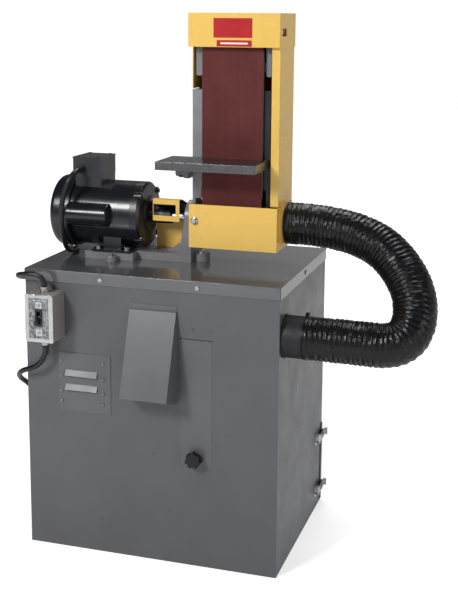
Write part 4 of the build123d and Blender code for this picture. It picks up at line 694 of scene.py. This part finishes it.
def hose_film():
    """Glossy black film, faintly cloudy and finely wrinkled."""
    f = Finish("hose_film")
    cloud = f.remap(f.noise(26, 5, 0.65), 0.35, 0.7)
    base = f.mix(cloud, (0.002, 0.002, 0.003), (0.005, 0.005, 0.007))
    rough = f.remap(f.noise(45, 4), 0.3, 0.7, 0.26, 0.38)
    normal = f.bump(f.noise(160, 3), 0.0002, 0.5)
    f.set(Base_Color=base, Roughness=rough, Normal=normal, Specular_IOR_Level=0.38)
    return f.material


def filter_felt():
    """Pleated off-white felt in a pressed frame, greyed by dust near the bottom."""
    f = Finish("filter_felt")
    fibre = f.noise(700, 4, 0.7)
    base = f.mix(f.remap(f.noise(18, 5), 0.3, 0.7), (0.60, 0.56, 0.47), (0.72, 0.69, 0.60))
    low = f.math("MULTIPLY", f.remap(f.axis(2), 0.50, 0.26), f.remap(f.noise(30, 4), 0.3, 0.6))
    base = f.mix(f.math("MULTIPLY", low, 0.6), base, (0.27, 0.22, 0.18))
    f.set(Base_Color=base, Roughness=0.9, Normal=f.bump(fibre, 0.0003, 0.7))
    return f.material


MOTOR_GLAND_Z = 0.9  # the connector on the motor's box is above this, the others below


def gland_metal():
    """Cast cord connectors, the one up on the motor's box painted black with it."""
    f = Finish("gland_metal")
    painted_black = f.math("GREATER_THAN", f.axis(2), MOTOR_GLAND_Z)
    cloud = f.remap(f.noise(60, 4), 0.3, 0.7)
    base = f.mix(cloud, (0.46, 0.46, 0.46), (0.60, 0.60, 0.60))
    base = f.mix(painted_black, base, (0.012, 0.012, 0.015))
    rough = f.remap(f.noise(70, 3), 0.3, 0.7, 0.28, 0.42)
    bare = f.math("SUBTRACT", 1.0, painted_black)
    normal = f.bump(f.noise(500, 2), 0.00005, 0.5, f.round_edges(0.0005))
    f.set(Base_Color=base, Roughness=rough, Metallic=bare, Normal=normal)
    return f.material


ARM_SPLIT_X = 0.075  # grey to the left of this, black to the right as painted shade


def arm_paint_and_shade():
    """The arm's casting: machine grey on its left cheek; its web and right cheek coloured black as
    painted shade.
    """
    f = Finish("arm_paint_and_shade")
    cloud = f.remap(f.noise(12, 5), 0.3, 0.7)
    grey = f.mix(cloud, (0.22, 0.224, 0.237), (0.30, 0.304, 0.32))
    grey = f.mix(f.edge_mask(CAST_EDGE), grey, (0.40, 0.40, 0.40))
    right = f.math("GREATER_THAN", f.axis(0), ARM_SPLIT_X)
    # painted shade: the web and right cheek are coloured near-black where they lie in shadow
    base = f.mix(right, grey, (0.014, 0.014, 0.017))
    smear = f.remap(f.noise(30, 4), 0.3, 0.7, 0.30, 0.46)
    f.set(Base_Color=base, Roughness=smear, Normal=cast_skin(f))
    return f.material


VENT_SCREWS_TOP = 0.52  # the vent panel's screws are below this, the rest above


def screw_finish():
    """Plated screws: bright in the lid's skirt and the starter, dull on the vent panel."""
    f = Finish("screw_finish")
    cloud = f.remap(f.noise(60, 4), 0.3, 0.7)
    bright = f.mix(cloud, (0.40, 0.40, 0.40), (0.54, 0.54, 0.54))
    dull = f.mix(cloud, (0.17, 0.17, 0.18), (0.25, 0.25, 0.26))
    low = f.math("LESS_THAN", f.axis(2), VENT_SCREWS_TOP)
    rough = f.remap(f.noise(70, 3), 0.3, 0.7, 0.20, 0.34)
    normal = f.bump(f.noise(500, 2), 0.00003, 0.5, f.round_edges(0.0026))
    f.set(Base_Color=f.mix(low, bright, dull), Roughness=rough, Metallic=1.0, Normal=normal)
    return f.material


# the hollow of the coupling guard, coloured near-black inside as painted shade: its roof is level
# up to the bend and slopes down behind it
GUARD_HOLLOW_Y = (-0.0412, 0.0232)
GUARD_FLOOR_Z = 0.8139
GUARD_ROOF_Z = 0.8677
GUARD_BEND_Y = -0.022
GUARD_ROOF_FALL = 17 / 46


def guard_paint_and_shade():
    """The coupling guard: yellow outside, near-black inside as painted shade round the coupling.
    """
    f = Finish("guard_paint_and_shade")
    cloud = f.remap(f.noise(7, 4), 0.3, 0.7)
    base = f.mix(cloud, shade(YELLOW, 0.97), shade(YELLOW, 1.03))
    behind = f.math("GREATER_THAN", f.axis(1), GUARD_HOLLOW_Y[0])
    ahead = f.math("LESS_THAN", f.axis(1), GUARD_HOLLOW_Y[1])
    past_bend = f.math("MAXIMUM", f.math("SUBTRACT", f.axis(1), GUARD_BEND_Y), 0.0)
    fall = f.math("MULTIPLY", past_bend, GUARD_ROOF_FALL)
    below = f.math("LESS_THAN", f.math("ADD", f.axis(2), fall), GUARD_ROOF_Z)
    above = f.math("GREATER_THAN", f.axis(2), GUARD_FLOOR_Z)
    across = f.math("MULTIPLY", behind, ahead)
    inside = f.math("MULTIPLY", across, f.math("MULTIPLY", below, above))
    # painted shade: the hollow round the coupling is coloured near-black where it lies in shadow
    base = f.mix(inside, base, (0.012, 0.012, 0.012))
    rough = f.remap(f.noise(16, 5), 0.3, 0.7, 0.26, 0.38)
    normal = f.bump(f.noise(420, 2), 0.00005, 0.6, f.round_edges(0.0006))
    f.set(Base_Color=base, Roughness=rough, Normal=normal)
    return f.material


LOOKS = {
    cabinet_paint: ["cabinet_body"],
    lid_paint: ["cabinet_top"],
    panel_paint: ["vent_panel", "exhaust_hood", "shaker_hinge", "shaker_flap", "rear_door"],
    inside_paint: ["blower_housing"],
    screw_finish(): ["panel_screws"],
    zinc: [
        "latch_bases",
        "latch_lever_upper",
        "latch_lever_lower",
        "starter_cover",
        "base_bolts",
        "tracking_screw",
        "take_up_spring",
    ],
    filter_felt(): ["filter_cartridge"],
    motor_paint: ["motor_frame", "capacitor_cover", "fan_cover", "blower_motor"],
    bell_paint: ["drive_bell"],
    box_paint: ["conduit_box"],
    starter_grey: ["starter_box"],
    starter_print(): ["starter_plate"],
    pan_steel: ["dust_pan"],
    cuff_rubber: ["inlet_cuff"],
    black_plastic: [
        "starter_switch",
        "starter_toggle",
        "motor_fan",
        "mains_plug",
        "coupling_spider",
    ],
    knob_plastic: ["shaker_knob"],
    base_paint: ["base_casting"],
    arm_paint_and_shade(): ["arm_frame"],
    cast_paint: ["table_bracket", "idler_yoke"],
    laminations: ["motor_stator"],
    black_steel: ["coupling_hubs", "hose_clamp"],
    turned: ["motor_bearings", "motor_rotor", "drive_shaft", "shaft_bearings"],
    brushed: ["platen"],
    aluminium: ["drive_drum", "idler_drum", "blower_wheel"],
    gland_metal(): ["cord_glands"],
    guard_paint_and_shade(): ["coupling_guard"],
    abrasive_cloth(): ["sanding_belt"],
    yellow_paint: ["belt_housing", "header_cover", "lower_cover"],
    red_label(): ["header_labels"],
    table_iron(): ["work_table"],
    cord_rubber: ["dust_hose", "motor_cord", "mains_lead", "lead_coil"],
}


def wear_material(piece, material):
    """Puts the material on every slot of the piece, without changing its mesh."""
    if not piece.material_slots:
        piece.data.materials.append(material)
    for material_slot in piece.material_slots:
        material_slot.link = "OBJECT"
        material_slot.material = material


for look, names in LOOKS.items():
    for node_name in names:
        wear_material(nodes[node_name], look)
wear_material(dust_hose, hose_film())
wear_material(motor_cord, cord_rubber)
wear_material(mains_lead, cord_rubber)
wear_material(lead_relief, black_plastic)
wear_material(lead_tie, tie_cloth)
wear_material(take_up_coil, zinc)


# ---------------------------------------------------------------- small fastenings

COVER_BOLT = (0.064, -0.0890, 0.8289)


def cover_bolt():
    """The hexagon screw and washer that hold the lower cover."""
    x, y, z = COVER_BOLT
    washer_profile = [(0, 0.0094), (0.0017, 0.0094), (0.0022, 0.0090)]
    washer = lathe("cover_bolt_washer", COVER_BOLT, (0, -1, 0), washer_profile)
    head = hexagon_head(
        "cover_bolt_head", (x, y - 0.0022, z), (0, -1, 0), 0.0078, 0.0062, 0.0007
    )
    for piece in (washer, head):
        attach(piece, "sander_arm")
        wear_material(piece, zinc)


cover_bolt()


# ---------------------------------------------------------------- light and floor


MIDDLE = Vector((0.1, 0.0, 0.7))  # what the lights are aimed at


def soft_light(name, place, size, power):
    data = bpy.data.lights.new(name, "AREA")
    data.shape = "RECTANGLE"
    data.size, data.size_y = size
    data.energy = power
    light = bpy.data.objects.new(name, data)
    light.location = place
    light.rotation_euler = (MIDDLE - Vector(place)).to_track_quat("-Z", "Y").to_euler()
    scene.collection.objects.link(light)


soft_light("key", (-1.5, -3.4, 2.9), (1.0, 1.0), 110)
soft_light("fill", (3.4, -1.4, 1.6), (1.0, 1.6), 14)
soft_light("top", (0.4, 0.9, 3.4), (1.4, 1.0), 22)
soft_light("back", (-0.6, 2.6, 3.9), (1.6, 1.2), 34)


def make_world():
    """White behind everything; in reflections bright low down, dark overhead and to the left."""
    world = bpy.data.worlds.new("studio")
    world.use_nodes = True
    w = Nodes(world.node_tree)
    direction = w.node("ShaderNodeTexCoord").outputs["Generated"]
    part = w.node("ShaderNodeSeparateXYZ", {"Vector": direction}).outputs
    tent = w.remap(part["Z"], 0.0, 0.55, 0.48, 0.10)
    flag = w.remap(part["X"], -0.44, -0.20, 0.22, 1.0)
    level = w.remap(w.seen_directly(), 0.0, 1.0, w.math("MULTIPLY", tent, flag), 1.0)
    background = world.node_tree.nodes["Background"]
    w.feed(background.inputs["Color"], (1, 1, 1, 1))
    w.feed(background.inputs["Strength"], level)
    scene.world = world


make_world()
scene.view_settings.view_transform = "Standard"


def make_floor():
    """A pale floor that glows a little, and more with distance, to meet the white behind."""
    reach = 14
    corners = [(-reach, -reach, 0), (reach, -reach, 0), (reach, reach, 0), (-reach, reach, 0)]
    floor = mesh_object("floor", corners, [(0, 1, 2, 3)])
    f = Finish("floor_white")
    tone = f.mix(f.remap(f.noise(1.5, 2), 0.3, 0.7), (0.86, 0.86, 0.86), (0.88, 0.88, 0.88))
    distance = f.node("ShaderNodeVectorMath", {0: f.place}, operation="LENGTH").outputs["Value"]
    glow = f.remap(distance, 0.8, 3.0, 0.62, 1.0)
    glow = f.math("MULTIPLY", glow, f.remap(f.seen_directly(), 0.0, 1.0, 0.35, 1.0))
    f.set(Base_Color=tone, Roughness=0.9, Emission_Color=(1, 1, 1, 1), Emission_Strength=glow)
    wear_material(floor, f.material)


make_floor()
